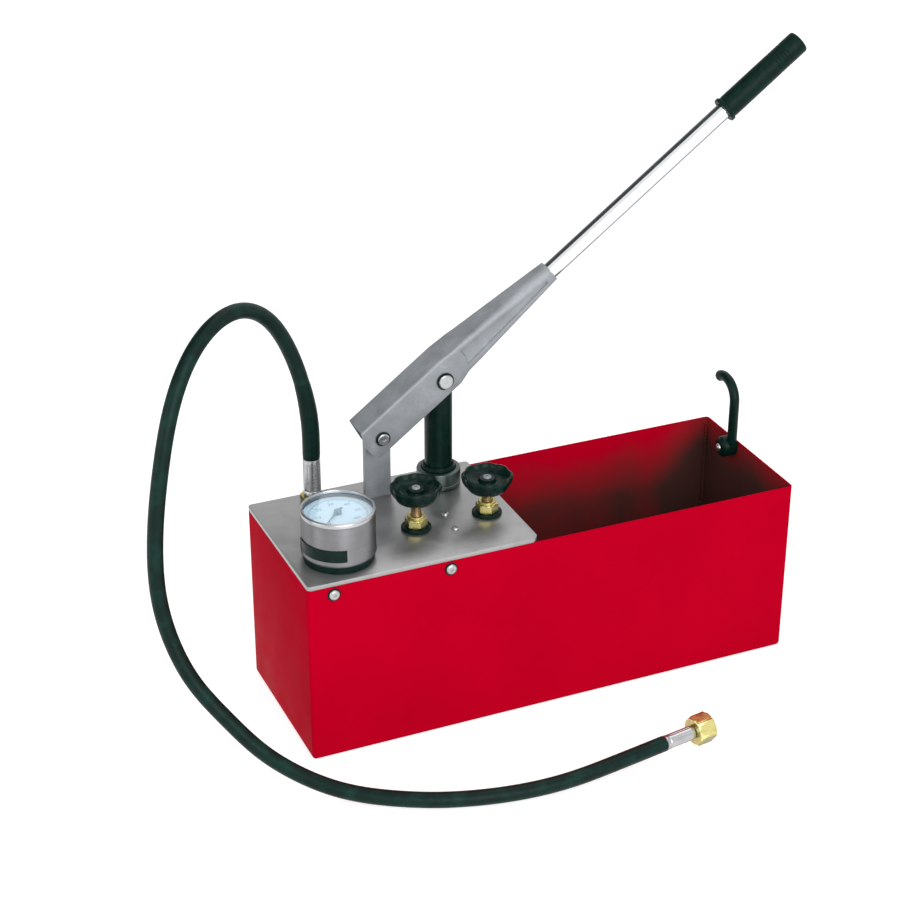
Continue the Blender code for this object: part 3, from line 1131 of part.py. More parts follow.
def make_hose():
    place = (HOSE_X, HOSE_Y, 0)
    shank_low = BLOCK_TOP - PORT_DEPTH
    adapter = rod("hose_adapter", (HOSE_X, HOSE_Y, SEAT), (HOSE_X, HOSE_Y, ADAPTER_TOP),
                  ADAPTER_HEX_RADIUS, BRASS, 6)
    shank = rod("adapter_shank", (HOSE_X, HOSE_Y, shank_low), (HOSE_X, HOSE_Y, SEAT + SINK),
                SHANK_RADIUS, BRASS)
    boolean(adapter, shank, "UNION")
    low = ADAPTER_TOP + GAP
    ferrule = [(0.0, FERRULE_TOP), (FERRULE_RADIUS - FERRULE_EDGE, FERRULE_TOP),
               (FERRULE_RADIUS, FERRULE_TOP - FERRULE_EDGE), (FERRULE_RADIUS, low + FERRULE_EDGE),
               (FERRULE_RADIUS - FERRULE_EDGE, low), (0.0, low)]
    turned("hose_ferrule_pump", ferrule, STEEL, place)
    points = smooth_route(placed_route(HOSE_ROUTE), HOSE_POINT_STEP)
    wire("hose", points, HOSE_RADIUS, BLACK_RUBBER, 3)
    make_sleeve(points)
    make_hose_end()


def make_sleeve(points):
    end = points[2].lerp(points[3], SLEEVE_END_SHARE)
    sleeve = into_mesh(wire("hose_sleeve", points[:3] + [end], SLEEVE_RADIUS, BLACK_RUBBER, 3))
    start = points[0] - (points[1] - points[0]).normalized() * OVERRUN
    past = points[2].lerp(points[3], SLEEVE_BORE_SHARE)
    bore = into_mesh(wire("sleeve_bore", [start] + points[1:3] + [past], HOSE_RADIUS + GAP,
                          BLACK_RUBBER, 3))
    boolean(sleeve, bore)


def make_hose_end():
    origin = Vector(placed_route(HOSE_ROUTE)[-1])
    way = Vector((math.cos(END_HEADING), math.sin(END_HEADING), math.tan(END_RISE))).normalized()
    start = GAP
    end = start + END_FERRULE_LENGTH
    turned("hose_ferrule_end",
           [(0.0, end), (END_FERRULE_RADIUS - FERRULE_EDGE, end), (END_FERRULE_RADIUS, end - FERRULE_EDGE),
            (END_FERRULE_RADIUS, start + FERRULE_EDGE), (END_FERRULE_RADIUS - FERRULE_EDGE, start),
            (0.0, start)], STEEL, origin, way)
    nut_start = end + GAP
    nut_end = nut_start + HOSE_NUT_LENGTH
    shoulder = nut_start + HOSE_NUT_BACK + GAP
    nipple_end = shoulder + NIPPLE_SHOULDER_LENGTH
    turned("hose_nipple",
           [(0.0, nipple_end), (NIPPLE_SHOULDER - FERRULE_EDGE, nipple_end),
            (NIPPLE_SHOULDER, nipple_end - FERRULE_EDGE), (NIPPLE_SHOULDER, shoulder),
            (NIPPLE_RADIUS, shoulder), (NIPPLE_RADIUS, end + GAP), (0.0, end + GAP)], STEEL, origin, way)
    nut = rod("hose_nut", origin + way * nut_start, origin + way * nut_end,
              HOSE_NUT_FLATS / math.sqrt(3), BRASS, 6)
    nut.matrix_world = nut.matrix_world @ Matrix.Rotation(math.pi / 6, 4, "Z")
    neck = rod("hose_nut_neck", origin + way * (nut_start - OVERRUN), origin + way * (shoulder + SINK),
               NIPPLE_RADIUS + GAP, BRASS)
    socket = rod("hose_nut_socket", origin + way * (nut_start + HOSE_NUT_BACK),
                 origin + way * (nut_end + OVERRUN), HOSE_NUT_SOCKET, BRASS)
    boolean(nut, neck)
    boolean(nut, socket)


def make_hook():
    length = HOOK_BOSS_LENGTH
    radius = HOOK_BOSS_RADIUS
    boss_end = WALL_FACE - GAP
    boss = [(0.0, length), (radius - HOOK_BOSS_TAPER, length), (radius, length - HOOK_BOSS_TAPER),
            (radius, 0.0), (0.0, 0.0)]
    hook = turned("hook", boss, BLACK_COAT, (boss_end, HOOK_Y, HOOK_HEIGHT), (-1, 0, 0))
    x = WALL_FACE - HOOK_ROD_FROM_WALL
    stem_y = HOOK_Y - HOOK_STEM_OFFSET
    centre = (stem_y + HOOK_CURL_RADIUS, HOOK_STEM_TOP)
    curl = arc(centre, HOOK_CURL_RADIUS, math.pi, math.pi - HOOK_CURL_TURN, 14)
    points = [(x, stem_y, HOOK_HEIGHT)] + [(x, y, z) for y, z in curl]
    bar = into_mesh(wire("hook_bar", points, HOOK_ROD_RADIUS, BLACK_COAT, 3))
    boolean(hook, bar, "UNION")
    bore = rod("hook_bore", (boss_end - length - OVERRUN, HOOK_Y, HOOK_HEIGHT),
               (boss_end + OVERRUN, HOOK_Y, HOOK_HEIGHT), HOOK_PIN_RADIUS + GAP, BLACK_COAT, SMALL_STEPS)
    boolean(hook, bore)
    head = length + GAP
    back = -(GAP + SHEET + GAP)
    pin = [(0.0, head + HOOK_PIN_HEAD_HEIGHT), (HOOK_PIN_HEAD / 2, head + HOOK_PIN_HEAD_HEIGHT),
           (HOOK_PIN_HEAD, head + HOOK_PIN_HEAD_HEIGHT / 3), (HOOK_PIN_HEAD, head),
           (HOOK_PIN_RADIUS, head), (HOOK_PIN_RADIUS, back), (HOOK_PIN_UPSET, back),
           (HOOK_PIN_UPSET, back - HOOK_PIN_UPSET_HEIGHT), (0.0, back - HOOK_PIN_UPSET_HEIGHT)]
    turned("hook_pin", pin, STEEL, (boss_end, HOOK_Y, HOOK_HEIGHT), (-1, 0, 0), SMALL_STEPS)


make_tank()
make_head_plate()
make_plate_screws()
make_pump_block()
make_block_screws()
make_discharge_valve()
make_cylinder()
make_gland()
make_piston()
make_foot_valve()
make_strainer()
make_return_pipe()
make_link_bracket()
make_link()
make_lever()
make_gauge()
for valve_side in VALVE_XS:
    make_valve(valve_side)
make_hose()
make_hook()
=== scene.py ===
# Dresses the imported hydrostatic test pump: finer pieces, finishes, the pressure hose and the stage.
# Lengths are metres. The front of the trough faces -Y and the hook stands at its +X end.

import math

import bmesh
import bpy
import numpy as np
from bpy.props import FloatProperty, FloatVectorProperty, IntProperty, PointerProperty
from mathutils import Matrix, Vector


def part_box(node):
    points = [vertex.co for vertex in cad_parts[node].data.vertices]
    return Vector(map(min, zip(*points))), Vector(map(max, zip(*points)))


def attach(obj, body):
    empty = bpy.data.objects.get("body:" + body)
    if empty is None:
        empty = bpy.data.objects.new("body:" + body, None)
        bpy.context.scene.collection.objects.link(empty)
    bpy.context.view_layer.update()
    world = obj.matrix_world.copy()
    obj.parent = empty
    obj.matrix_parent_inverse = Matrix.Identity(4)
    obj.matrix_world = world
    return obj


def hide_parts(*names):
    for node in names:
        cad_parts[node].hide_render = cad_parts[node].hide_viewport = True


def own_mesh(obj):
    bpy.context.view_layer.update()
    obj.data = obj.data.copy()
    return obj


bl_info = {
    "name": "Test pump",
    "version": (1, 0, 0),
    "blender": (4, 5, 0),
    "location": "3D View > Sidebar > Test pump",
    "description": "Builds the finer pieces, finishes and stage of a hydrostatic test pump",
    "category": "Object",
}

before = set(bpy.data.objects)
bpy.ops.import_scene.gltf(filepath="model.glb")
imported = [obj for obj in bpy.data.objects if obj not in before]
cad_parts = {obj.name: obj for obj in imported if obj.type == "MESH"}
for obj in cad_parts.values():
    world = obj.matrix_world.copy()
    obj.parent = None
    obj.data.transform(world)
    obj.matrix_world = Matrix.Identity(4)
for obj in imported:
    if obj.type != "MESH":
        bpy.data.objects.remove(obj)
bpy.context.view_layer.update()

ROUND_STEPS = 96
SMALL_STEPS = 48
SMOOTH_BELOW = math.radians(32)
WELD = 0.000002
VALVE_SIDES = ("left", "right")

# The stage. Lamps: name, setting that holds the power, size, place and what they face.
FLOOR_DROP = 0.0006
FLOOR_GLOW = 0.64
LAMPS = (
    ("key_lamp", "key_power", 2.6, (-0.2, -2.6, 1.5), (0.0, 0.0, 0.15)),
    ("side_lamp", "side_power", 2.0, (-2.6, -0.3, 1.0), (-0.2, 0.0, 0.15)),
    ("fill_lamp", "fill_power", 2.2, (0.6, 0.6, 2.6), (0.0, 0.0, 0.2)),
)
CARD_PLACE = (-0.90, 1.15, 1.55)
CARD_TARGET = (0.12, 0.05, 0.45)
CARD_SIZE = (2.4, 2.2)
CARD_GREY = (0.055, 0.065, 0.065, 1.0)

# Colours that the panel doesn't hold
# Grime and painted shade that darken the trough's inside
GRIME_AND_SHADE = (0.036, 0.032, 0.026, 1.0)
TARNISH = (0.36, 0.25, 0.05, 1.0)
# Dark rim of the brass: a painted reflection
BRASS_PAINTED_RIM = (0.14, 0.12, 0.03, 1.0)
WORN_BRASS = (0.36, 0.24, 0.12)
ALUMINIUM = (0.30, 0.30, 0.31)
INK = (0.16, 0.24, 0.30)
GLASS = (0.96, 0.98, 1.0)
GLASS_SHADOW = (0.93, 0.96, 0.98, 1.0)

# The hose's route, from the ferrule on the head plate to the fitting on the floor.
HOSE_MAP = "hose_map"
HOSE_ROUTE = [
    (-0.1935, 0.0690, 0.2369), (-0.1935, 0.0690, 0.2670), (-0.1985, 0.0715, 0.3110),
    (-0.2105, 0.0745, 0.3525), (-0.2325, 0.0700, 0.3890), (-0.2645, 0.0545, 0.4080),
    (-0.3000, 0.0340, 0.4025), (-0.3290, 0.0150, 0.3780), (-0.3490, 0.0000, 0.3430),
    (-0.3620, -0.0100, 0.3030), (-0.3715, -0.0175, 0.2615), (-0.3775, -0.0240, 0.2190),
    (-0.3785, -0.0320, 0.1765), (-0.3720, -0.0435, 0.1355), (-0.3580, -0.0595, 0.0985),
    (-0.3365, -0.0800, 0.0675), (-0.3125, -0.1045, 0.0410), (-0.2840, -0.1305, 0.0230),
    (-0.2510, -0.1560, 0.0125), (-0.2145, -0.1785, 0.0090), (-0.1755, -0.1970, 0.0080),
    (-0.1345, -0.2100, 0.0080), (-0.0920, -0.2170, 0.0080), (-0.0490, -0.2185, 0.0090),
    (-0.0060, -0.2150, 0.0110), (0.0520, -0.2080, 0.0135),
]
HOSE_RADIUS = 0.0075
HOSE_STEP = 0.004
SLEEVE_RADIUS = 0.0086
SLEEVE_LENGTH = 0.0780
SLEEVE_TAPER = 0.0320
SLEEVE_THINNING = 0.0009
ADAPTER_FLATS = 0.0125 * math.sqrt(3)
ADAPTER_CHAMFER = 0.0011
# The fitting on the floor: where it points, its ferrule's radius and length, and its nut
END_WAY = (0.9916, 0.12175, 0.04362)
END_FERRULE = (0.0072, 0.0330)
NUT_FLATS = 0.0260
NUT_LENGTH = 0.0190
NUT_BACK = 0.0040
NUT_SOCKET = 0.0102
NUT_CHAMFER = 0.0022
END_GAP = 0.0003

# Trough and head plate
TROUGH_SHEET = 0.0015
TROUGH_FOLD = 0.0040
BEAD_POINTS = 215
BEAD_STEP = 0.0008
BEAD_RADIUS = 0.0019
BEAD_INSET = 0.0014
PLATE_GAP = 0.0003
PLATE_CORNER = 0.0080
PLATE_BACK_CORNER = 0.0040
FLANGE_FACE = 0.0832
FLANGE_SHEET = 0.0020
FLANGE_INSET = 0.010
FLANGE_EDGE = 0.0003
SCREW_WASHER = 0.0012
# The slot that the link stands through: half its length and half its width
LINK_SLOT = (0.0190, 0.0047)
LINK_SLOT_CORNER = 0.0015
LINK_RADIUS = 0.0130
LINK_THICKNESS = 0.0080

# The folded lever. Its sections: distance from the fulcrum, top, low edge, half width, fold radius.
LEVER_SHEET = 0.0025
LEVER_SECTIONS = [
    (-0.0182, 0.0205, -0.0143, 0.0170, 0.0028), (0.0920, 0.0205, -0.0143, 0.0170, 0.0028),
    (0.1040, 0.0193, -0.0105, 0.0170, 0.0028), (0.2270, 0.0111, -0.0050, 0.0111, 0.0101),
]
# The toe: the middle of its round corner, and for the near and the far flange the height from
# which it leans back, how far back it stands and how far it leans.
TOE_CENTRE = (-0.0107, -0.0068)
TOE_RADIUS = 0.0075
TOE_LENGTH = 0.0082
TOE_FREE = 0.02
TOE_LEANS = ((0.0031, 0.0, 0.0062), (-0.0034, 0.0027, 0.0035))
# The sunken panel: its ends along the lever, its low and top edges at both ends, and the curve of
# its start as distance, height and radius.
PANEL_START = 0.1070
PANEL_END = 0.2170
PANEL_LOW = (-0.0044, -0.0014)
PANEL_TOP = (0.0135, 0.0030)
PANEL_CURVE = (0.0840, 0.0100, 0.0280)
PANEL_EDGE = 0.00035
PANEL_START_EDGE = 0.0006
PANEL_REACH = (-0.0075, 0.0155)

# The tube, grip and pins of the lever
TUBE_RADII = (0.0068, 0.0083)
TUBE_ENDS = (0.160, 0.548)
GRIP_ENDS = (0.455, 0.5544)
GRIP_RADIUS = 0.0115
GRIP_GROOVES = 5
GRIP_GROOVE_STEP = 0.0035
PIN_HEAD = 0.0024

# Gland nut
GLAND_BORE = 0.0140
GLAND_LIP = 0.0171

# Gauge: angles of the dial's scale, sizes of its marks and of the strip round the case
DIAL_START = 225
DIAL_SWEEP = 270
DIAL_MARGIN = 0.0058
DIAL_LINE = 0.00022
FIGURE_SIZE = 0.0062
FIGURE_INSET = 0.0083
MARK_LOW = 0.0002
MARK_HIGH = 0.00012
CASE_BORE = 0.0064
RING_BORE = 0.0336
LABEL_START = math.radians(-190.5)
LABEL_TURN = math.radians(92.8)

# Valves and their knobs
BONNET_FLATS = 0.0110 * math.sqrt(3)
BONNET_CHAMFER = 0.0010
SPINDLE_RADIUS = 0.0050
LOBES_FROM = 0.012
LOBES_REACH = 0.013
LOBE_SHARPNESS = 1.5
KNOB_PROFILE = [
    (0.0232, 0.0000), (0.0243, -0.0004), (0.0249, -0.0014), (0.0250, -0.0030), (0.0246, -0.0048),
    (0.0237, -0.0080), (0.0220, -0.0112), (0.0195, -0.0142), (0.0162, -0.0168), (0.0134, -0.0185),
    (0.0116, -0.0195), (0.0105, -0.0200), (0.0053, -0.0200), (0.0053, -0.0085), (0.0023, -0.0085),
    (0.0023, -0.0035), (0.0072, -0.0035), (0.0079, -0.0042), (0.0081, -0.0055), (0.0090, -0.0070),
    (0.0120, -0.0072), (0.0165, -0.0066), (0.0195, -0.0050), (0.0212, -0.0025), (0.0221, -0.0006),
]

# Hook: its bar, the bend at its top and its boss
HOOK_GAP = 0.0053
HOOK_OFFSET = 0.0071
HOOK_RADIUS = 0.0050
HOOK_SWELL = 0.00008
HOOK_STEM = 0.0525
HOOK_BEND = 0.020

# The discharge valve's spring: its wire's radius and its turns.
VALVE_WIRE = 0.0005
VALVE_TURNS = 4


def middle(node):
    """The middle of a node's box."""
    low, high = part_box(node)
    return (low + high) / 2


def ends(node):
    """The lowest and highest Z of a node."""
    low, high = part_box(node)
    return low.z, high.z


def half_width(node):
    """Half of a node's size along X: the radius of a round one."""
    low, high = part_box(node)
    return (high.x - low.x) / 2


PUMP_Y = middle("rocking_link").y
FULCRUM = Vector((middle("fulcrum_pin").x, PUMP_Y, middle("fulcrum_pin").z))
PISTON_PIN = Vector((middle("piston_pin").x, PUMP_Y, middle("piston_pin").z))
LEVER_WAY = Vector((PISTON_PIN.x - FULCRUM.x, 0, PISTON_PIN.z - FULCRUM.z)).normalized()
LEVER_ANGLE = math.atan2(LEVER_WAY.z, LEVER_WAY.x)
LEVER_FRAME = Matrix.Translation(FULCRUM) @ Matrix.Rotation(-LEVER_ANGLE, 4, "Y")


class PumpColours(bpy.types.PropertyGroup):
    """Colours of the pump's finishes."""
    red_enamel: FloatVectorProperty(name="Red enamel", description="Paint of the trough",
                                    subtype="COLOR", min=0, max=1, default=(0.53, 0.0, 0.017))
    zinc: FloatVectorProperty(name="Zinc plating", description="Head plate and lever",
                              subtype="COLOR", min=0, max=1, default=(0.36, 0.36, 0.36))
    lever: FloatVectorProperty(name="Dull zinc", description="Folded lever and its link",
                               subtype="COLOR", min=0, max=1, default=(0.34, 0.36, 0.385))
    steel: FloatVectorProperty(name="Bright steel", description="Ferrules, pins and screws",
                               subtype="COLOR", min=0, max=1, default=(0.46, 0.47, 0.48))
    case: FloatVectorProperty(name="Gauge case", description="Brushed steel of the gauge",
                              subtype="COLOR", min=0, max=1, default=(0.20, 0.20, 0.21))
    dark_steel: FloatVectorProperty(name="Dark steel", description="Gland nut",
                                    subtype="COLOR", min=0, max=1, default=(0.10, 0.135, 0.125))
    chrome: FloatVectorProperty(name="Chrome", description="Lever tube",
                                subtype="COLOR", min=0, max=1, default=(0.80, 0.81, 0.83))
    brass: FloatVectorProperty(name="Brass", description="Valve bonnets and hose nut",
                               subtype="COLOR", min=0, max=1, default=(0.76, 0.68, 0.27))
    black: FloatVectorProperty(name="Black", description="Knobs, grip, plunger, hook and hose",
                               subtype="COLOR", min=0, max=1, default=(0.002, 0.017, 0.013))
    dial: FloatVectorProperty(name="Dial", description="Scale plate of the gauge",
                              subtype="COLOR", min=0, max=1, default=(0.57, 0.73, 0.82))


class PumpSizes(bpy.types.PropertyGroup):
    """Sizes of the finer details."""
    edge: FloatProperty(name="Edge rounding", description="Rounding of the machined edges",
                        unit="LENGTH", default=0.0004)
    sheet_edge: FloatProperty(name="Sheet edge", description="Rounding of the cut sheet edges",
                              unit="LENGTH", default=0.0005)
    panel_depth: FloatProperty(name="Lever panel depth",
                               description="Depth of the sunken panels in the lever",
                               unit="LENGTH", default=0.0021)
    lobe_depth: FloatProperty(name="Knob lobe depth",
                              description="Depth of the finger hollows in a knob's rim",
                              unit="LENGTH", default=0.0017)
    lobes: IntProperty(name="Knob lobes", description="Number of lobes around a knob",
                       default=8, min=5, max=12)
    bar_steps: IntProperty(name="Dial numbers", description="Numbered steps on the dial",
                           default=6, min=3, max=10)
    mark_width: FloatProperty(name="Dial mark width", description="Width of a main mark on the dial",
                              unit="LENGTH", default=0.0005)


class PumpStage(bpy.types.PropertyGroup):
    """Camera, floor and lamps."""
    camera_place: FloatVectorProperty(name="Camera place", description="Where the camera stands",
                                      subtype="XYZ", unit="LENGTH", default=(-0.7919, -1.645, 1.1812))
    camera_tilt: FloatProperty(name="Camera tilt", description="How far the camera looks down",
                               subtype="ANGLE", default=math.radians(27.348))
    camera_turn: FloatProperty(name="Camera turn",
                               description="Which way the camera looks round the pump",
                               subtype="ANGLE", default=math.radians(-23.458))
    lens: FloatProperty(name="Lens", description="Focal length in millimetres on a 36 mm sensor",
                        default=84.94)
    floor_size: FloatProperty(name="Floor size", description="Side of the square floor",
                              unit="LENGTH", default=8.0)
    key_power: FloatProperty(name="Key lamp", description="Power of the large front lamp in watts",
                             default=54.0)
    side_power: FloatProperty(name="Side lamp", description="Power of the lamp on the left in watts",
                              default=14.0)
    fill_power: FloatProperty(name="Fill lamp", description="Power of the lamp from above in watts",
                              default=12.0)
    sky: FloatProperty(name="Sky light", description="Strength of the even light from all round",
                       default=0.42)


class Finish:
    """A node material in the making. Its patterns lie on Object coordinates, in metres."""

    def __init__(self, name, colour, roughness, metallic=0.0):
        self.material = bpy.data.materials.new(f"{name}_finish")
        self.material.use_nodes = True
        self.tree = self.material.node_tree
        self.shader = self.tree.nodes["Principled BSDF"]
        self.colour = (*colour, 1.0)
        self.shader.inputs["Base Color"].default_value = self.colour
        self.shader.inputs["Roughness"].default_value = roughness
        self.shader.inputs["Metallic"].default_value = metallic
        self.material.diffuse_color = self.colour
        self.place = self.node("ShaderNodeTexCoord").outputs["Object"]

    def node(self, kind, **settings):
        """A new node of the finish."""
        made = self.tree.nodes.new(kind)
        for name, value in settings.items():
            setattr(made, name, value)
        return made

    def link(self, source, target):
        self.tree.links.new(source, target)

    def mapped(self, scale, turn=(0, 0, 0), place=None):
        """Object coordinates turned and stretched, for drawn and brushed surfaces."""
        mapping = self.node("ShaderNodeMapping")
        mapping.inputs["Rotation"].default_value = turn
        mapping.inputs["Scale"].default_value = scale
        self.link(place or self.place, mapping.inputs["Vector"])
        return mapping.outputs["Vector"]

    def noise(self, scale, detail=3.0, place=None, distortion=0.0):
        """A noise pattern over the object."""
        made = self.node("ShaderNodeTexNoise")
        made.inputs["Scale"].default_value = scale
        made.inputs["Detail"].default_value = detail
        made.inputs["Distortion"].default_value = distortion
        self.link(place or self.place, made.inputs["Vector"])
        return made.outputs["Fac"]

    def ranged(self, value, low, high, to_low=0.0, to_high=1.0):
        """A value moved from one range to another, and held there."""
        made = self.node("ShaderNodeMapRange")
        for name, number in (("From Min", low), ("From Max", high),
                             ("To Min", to_low), ("To Max", to_high)):
            made.inputs[name].default_value = number
        self.link(value, made.inputs["Value"])
        return made.outputs["Result"]

    def maths(self, operation, first, second):
        """A sum on two values. A value is a number or a socket."""
        made = self.node("ShaderNodeMath", operation=operation)
        for socket, value in zip(made.inputs, (first, second)):
            if isinstance(value, (int, float)):
                socket.default_value = value
            else:
                self.link(value, socket)
        return made.outputs["Value"]

    def vectors(self, operation, first, second=(0, 0, 0)):
        made = self.node("ShaderNodeVectorMath", operation=operation)
        self.link(first, made.inputs[0])
        made.inputs[1].default_value = second
        return made

    def mixed(self, share, first, second):
        """One colour fading into another. A colour is a tuple or a socket."""
        made = self.node("ShaderNodeMix", data_type="RGBA")
        self.link(share, made.inputs["Factor"])
        for socket, value in ((made.inputs[6], first), (made.inputs[7], second)):
            if isinstance(value, bpy.types.NodeSocket):
                self.link(value, socket)
            else:
                socket.default_value = value
        return made.outputs[2]

    def shade(self, factor):
        """The finish's own colour, lighter or darker."""
        return (*(min(1.0, channel * factor) for channel in self.colour[:3]), 1.0)

    def bumped(self, height, distance, strength=1.0):
        """Adds relief on top of the relief that is there."""
        made = self.node("ShaderNodeBump")
        made.inputs["Strength"].default_value = strength
        made.inputs["Distance"].default_value = distance
        self.link(height, made.inputs["Height"])
        earlier = self.shader.inputs["Normal"]
        if earlier.is_linked:
            self.link(earlier.links[0].from_socket, made.inputs["Normal"])
        self.link(made.outputs["Normal"], earlier)

    def turned_away(self, start, end):
        """Grows from 0 to 1 where the surface turns edge-on, for the painted dark reflection on the rims
        of polished metal.
        """
        layer = self.node("ShaderNodeLayerWeight")
        layer.inputs["Blend"].default_value = 0.5
        return self.ranged(layer.outputs["Facing"], start, end)

    def coloured(self, source):
        self.link(source, self.shader.inputs["Base Color"])

    def roughened(self, source):
        self.link(source, self.shader.inputs["Roughness"])



def red_enamel(colours):
    """Sprayed enamel: orange peel, faint clouding, hairline rubs and an inside darkened by grime and
    painted shade.
    """
    made = Finish("red_enamel", colours.red_enamel, 0.36)
    made.shader.inputs["Specular IOR Level"].default_value = 0.004
    cloud = made.noise(9.0, 4.0)
    rubs = made.noise(60.0, 8.0, made.mapped((1.0, 1.0, 14.0), (0.0, 0.35, 0.0)))
    rubs = made.ranged(rubs, 0.68, 0.74, 0.0, 0.25)
    base = made.mixed(made.ranged(cloud, 0.3, 0.7), made.shade(0.93), made.shade(1.05))
    base = made.mixed(rubs, base, made.shade(1.2))
    # The trough's inside takes grime and painted shade, darker towards the floor and the hook end
    made.coloured(made.mixed(grime_share(made), base, GRIME_AND_SHADE))
    made.roughened(made.ranged(made.noise(35.0, 4.0), 0.3, 0.7, 0.30, 0.44))
    made.bumped(made.noise(650.0, 2.0), 0.0002, 0.10)
    return made.material


def grime_share(made):
    """How far grime and painted shade darken the trough: only inside it, more towards the floor and the
    hook end.
    """
    low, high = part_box("tank")
    parts = made.node("ShaderNodeSeparateXYZ")
    made.link(made.place, parts.inputs["Vector"])
    x, z = parts.outputs["X"], parts.outputs["Z"]
    past = made.vectors("SUBTRACT", made.place, (0.0, 0.0, high.z)).outputs["Vector"]
    past = made.vectors("ABSOLUTE", past).outputs["Vector"]
    straight = (high.x - TROUGH_FOLD, high.y - TROUGH_FOLD, high.z - low.z - TROUGH_FOLD)
    past = made.vectors("SUBTRACT", past, straight).outputs["Vector"]
    past = made.vectors("MAXIMUM", past).outputs["Vector"]
    past = made.vectors("LENGTH", past).outputs["Value"]
    inside = made.maths("LESS_THAN", past, TROUGH_FOLD - TROUGH_SHEET / 2)
    inside = made.maths("MULTIPLY", inside, made.maths("LESS_THAN", z, high.z - TROUGH_SHEET / 2))
    # Painted shade with grime: darker towards the floor and towards the hook end
    deep = made.ranged(z, high.z - 0.003, high.z - 0.072)
    far = made.ranged(x, high.x - 0.070, high.x - 0.006, -0.14, 0.55)
    blotch = made.ranged(made.noise(22.0, 5.0), 0.3, 0.7, -0.12, 0.12)
    share = made.maths("ADD", made.maths("ADD", deep, far), blotch)
    share = made.ranged(share, 0.0, 1.0, 0.0, 0.93)
    return made.maths("MULTIPLY", inside, share)


def zinc_plating(colours):
    """Zinc-plated sheet: milky clouds, rolling streaks and dulled spots."""
    made = Finish("zinc_plating", colours.zinc, 0.36, 0.75)
    cloud = made.noise(28.0, 6.0, distortion=0.6)
    streak = made.noise(240.0, 4.0, made.mapped((0.05, 1.0, 1.0)))
    spots = made.ranged(made.noise(95.0, 5.0), 0.58, 0.75, 0.0, 0.5)
    base = made.mixed(made.ranged(cloud, 0.28, 0.72), made.shade(0.80), made.shade(1.16))
    base = made.mixed(made.ranged(streak, 0.3, 0.7, 0.0, 0.35), base, made.shade(0.9))
    made.coloured(made.mixed(spots, base, made.shade(0.74)))
    made.roughened(made.ranged(cloud, 0.25, 0.75, 0.26, 0.46))
    made.bumped(streak, 0.00008, 0.25)
    made.bumped(made.noise(500.0, 3.0), 0.00008, 0.2)
    return made.material


def dull_zinc(colours):
    """Duller zinc of the folded lever and its link."""
    made = Finish("dull_zinc", colours.lever, 0.6, 0.4)
    cloud = made.noise(40.0, 6.0, distortion=0.4)
    speck = made.noise(420.0, 3.0)
    base = made.mixed(made.ranged(cloud, 0.3, 0.7), made.shade(0.76), made.shade(1.14))
    made.coloured(made.mixed(made.ranged(speck, 0.35, 0.7, 0.0, 0.6), base, made.shade(0.82)))
    made.roughened(made.ranged(cloud, 0.25, 0.75, 0.50, 0.66))
    made.bumped(speck, 0.00006, 0.25)
    return made.material


def steel_finish(name, colour, roughness, painted_rim_factor, grain_scale):
    """Steel with tool marks, soft clouds and a painted dark reflection on edges that turn away."""
    made = Finish(name, colour, roughness, 0.92)
    marks = made.noise(900.0, 2.0, made.mapped(grain_scale))
    cloud = made.noise(60.0, 5.0)
    base = made.mixed(made.ranged(cloud, 0.3, 0.7), made.shade(0.86), made.shade(1.10))
    base = made.mixed(made.ranged(marks, 0.3, 0.7, 0.0, 0.3), base, made.shade(0.8))
    # Edges that turn away take a painted dark reflection
    made.coloured(made.mixed(made.turned_away(0.42, 0.86), base, made.shade(painted_rim_factor)))
    made.roughened(made.ranged(marks, 0.3, 0.7, roughness - 0.06, roughness + 0.08))
    made.bumped(marks, 0.00004, 0.2)
    return made.material


def bright_steel(colours):
    """Turned and polished steel."""
    return steel_finish("bright_steel", colours.steel, 0.28, 0.42, (0.03, 0.03, 1.0))


def brushed_steel(colours):
    """Gauge case, brushed round."""
    return steel_finish("brushed_steel", colours.case, 0.34, 0.16, (0.02, 0.02, 1.0))


def dark_steel(colours):
    """Oiled, darkened steel of the gland nut."""
    return steel_finish("dark_steel", colours.dark_steel, 0.34, 0.30, (0.04, 0.04, 1.0))


def chrome_plating(colours):
    """Chromed tube with a little haze and a painted dark reflection along its edges."""
    made = Finish("chrome_plating", colours.chrome, 0.1, 1.0)
    haze = made.noise(45.0, 6.0)
    base = made.mixed(made.ranged(haze, 0.3, 0.7), made.shade(0.94), made.shade(1.03))
    # Edges that turn away take a painted dark reflection
    made.coloured(made.mixed(made.turned_away(0.40, 0.62), base, made.shade(0.11)))
    made.roughened(made.ranged(haze, 0.35, 0.75, 0.07, 0.18))
    made.bumped(made.noise(300.0, 2.0), 0.00003, 0.1)
    return made.material


def turned_brass(colours):
    """Machined brass with a little tarnish and a painted dark reflection on its rims."""
    made = Finish("turned_brass", colours.brass, 0.26, 0.85)
    tarnish = made.ranged(made.noise(120.0, 6.0), 0.45, 0.75, 0.0, 0.55)
    base = made.mixed(made.ranged(made.noise(40.0), 0.3, 0.7), made.shade(0.88), made.shade(1.1))
    base = made.mixed(tarnish, base, TARNISH)
    # Rims that turn away take a painted dark reflection
    made.coloured(made.mixed(made.turned_away(0.38, 0.8), base, BRASS_PAINTED_RIM))
    marks = made.noise(700.0, 2.0, made.mapped((0.05, 0.05, 1.0)))
    made.roughened(made.ranged(marks, 0.3, 0.7, 0.20, 0.36))
    return made.material


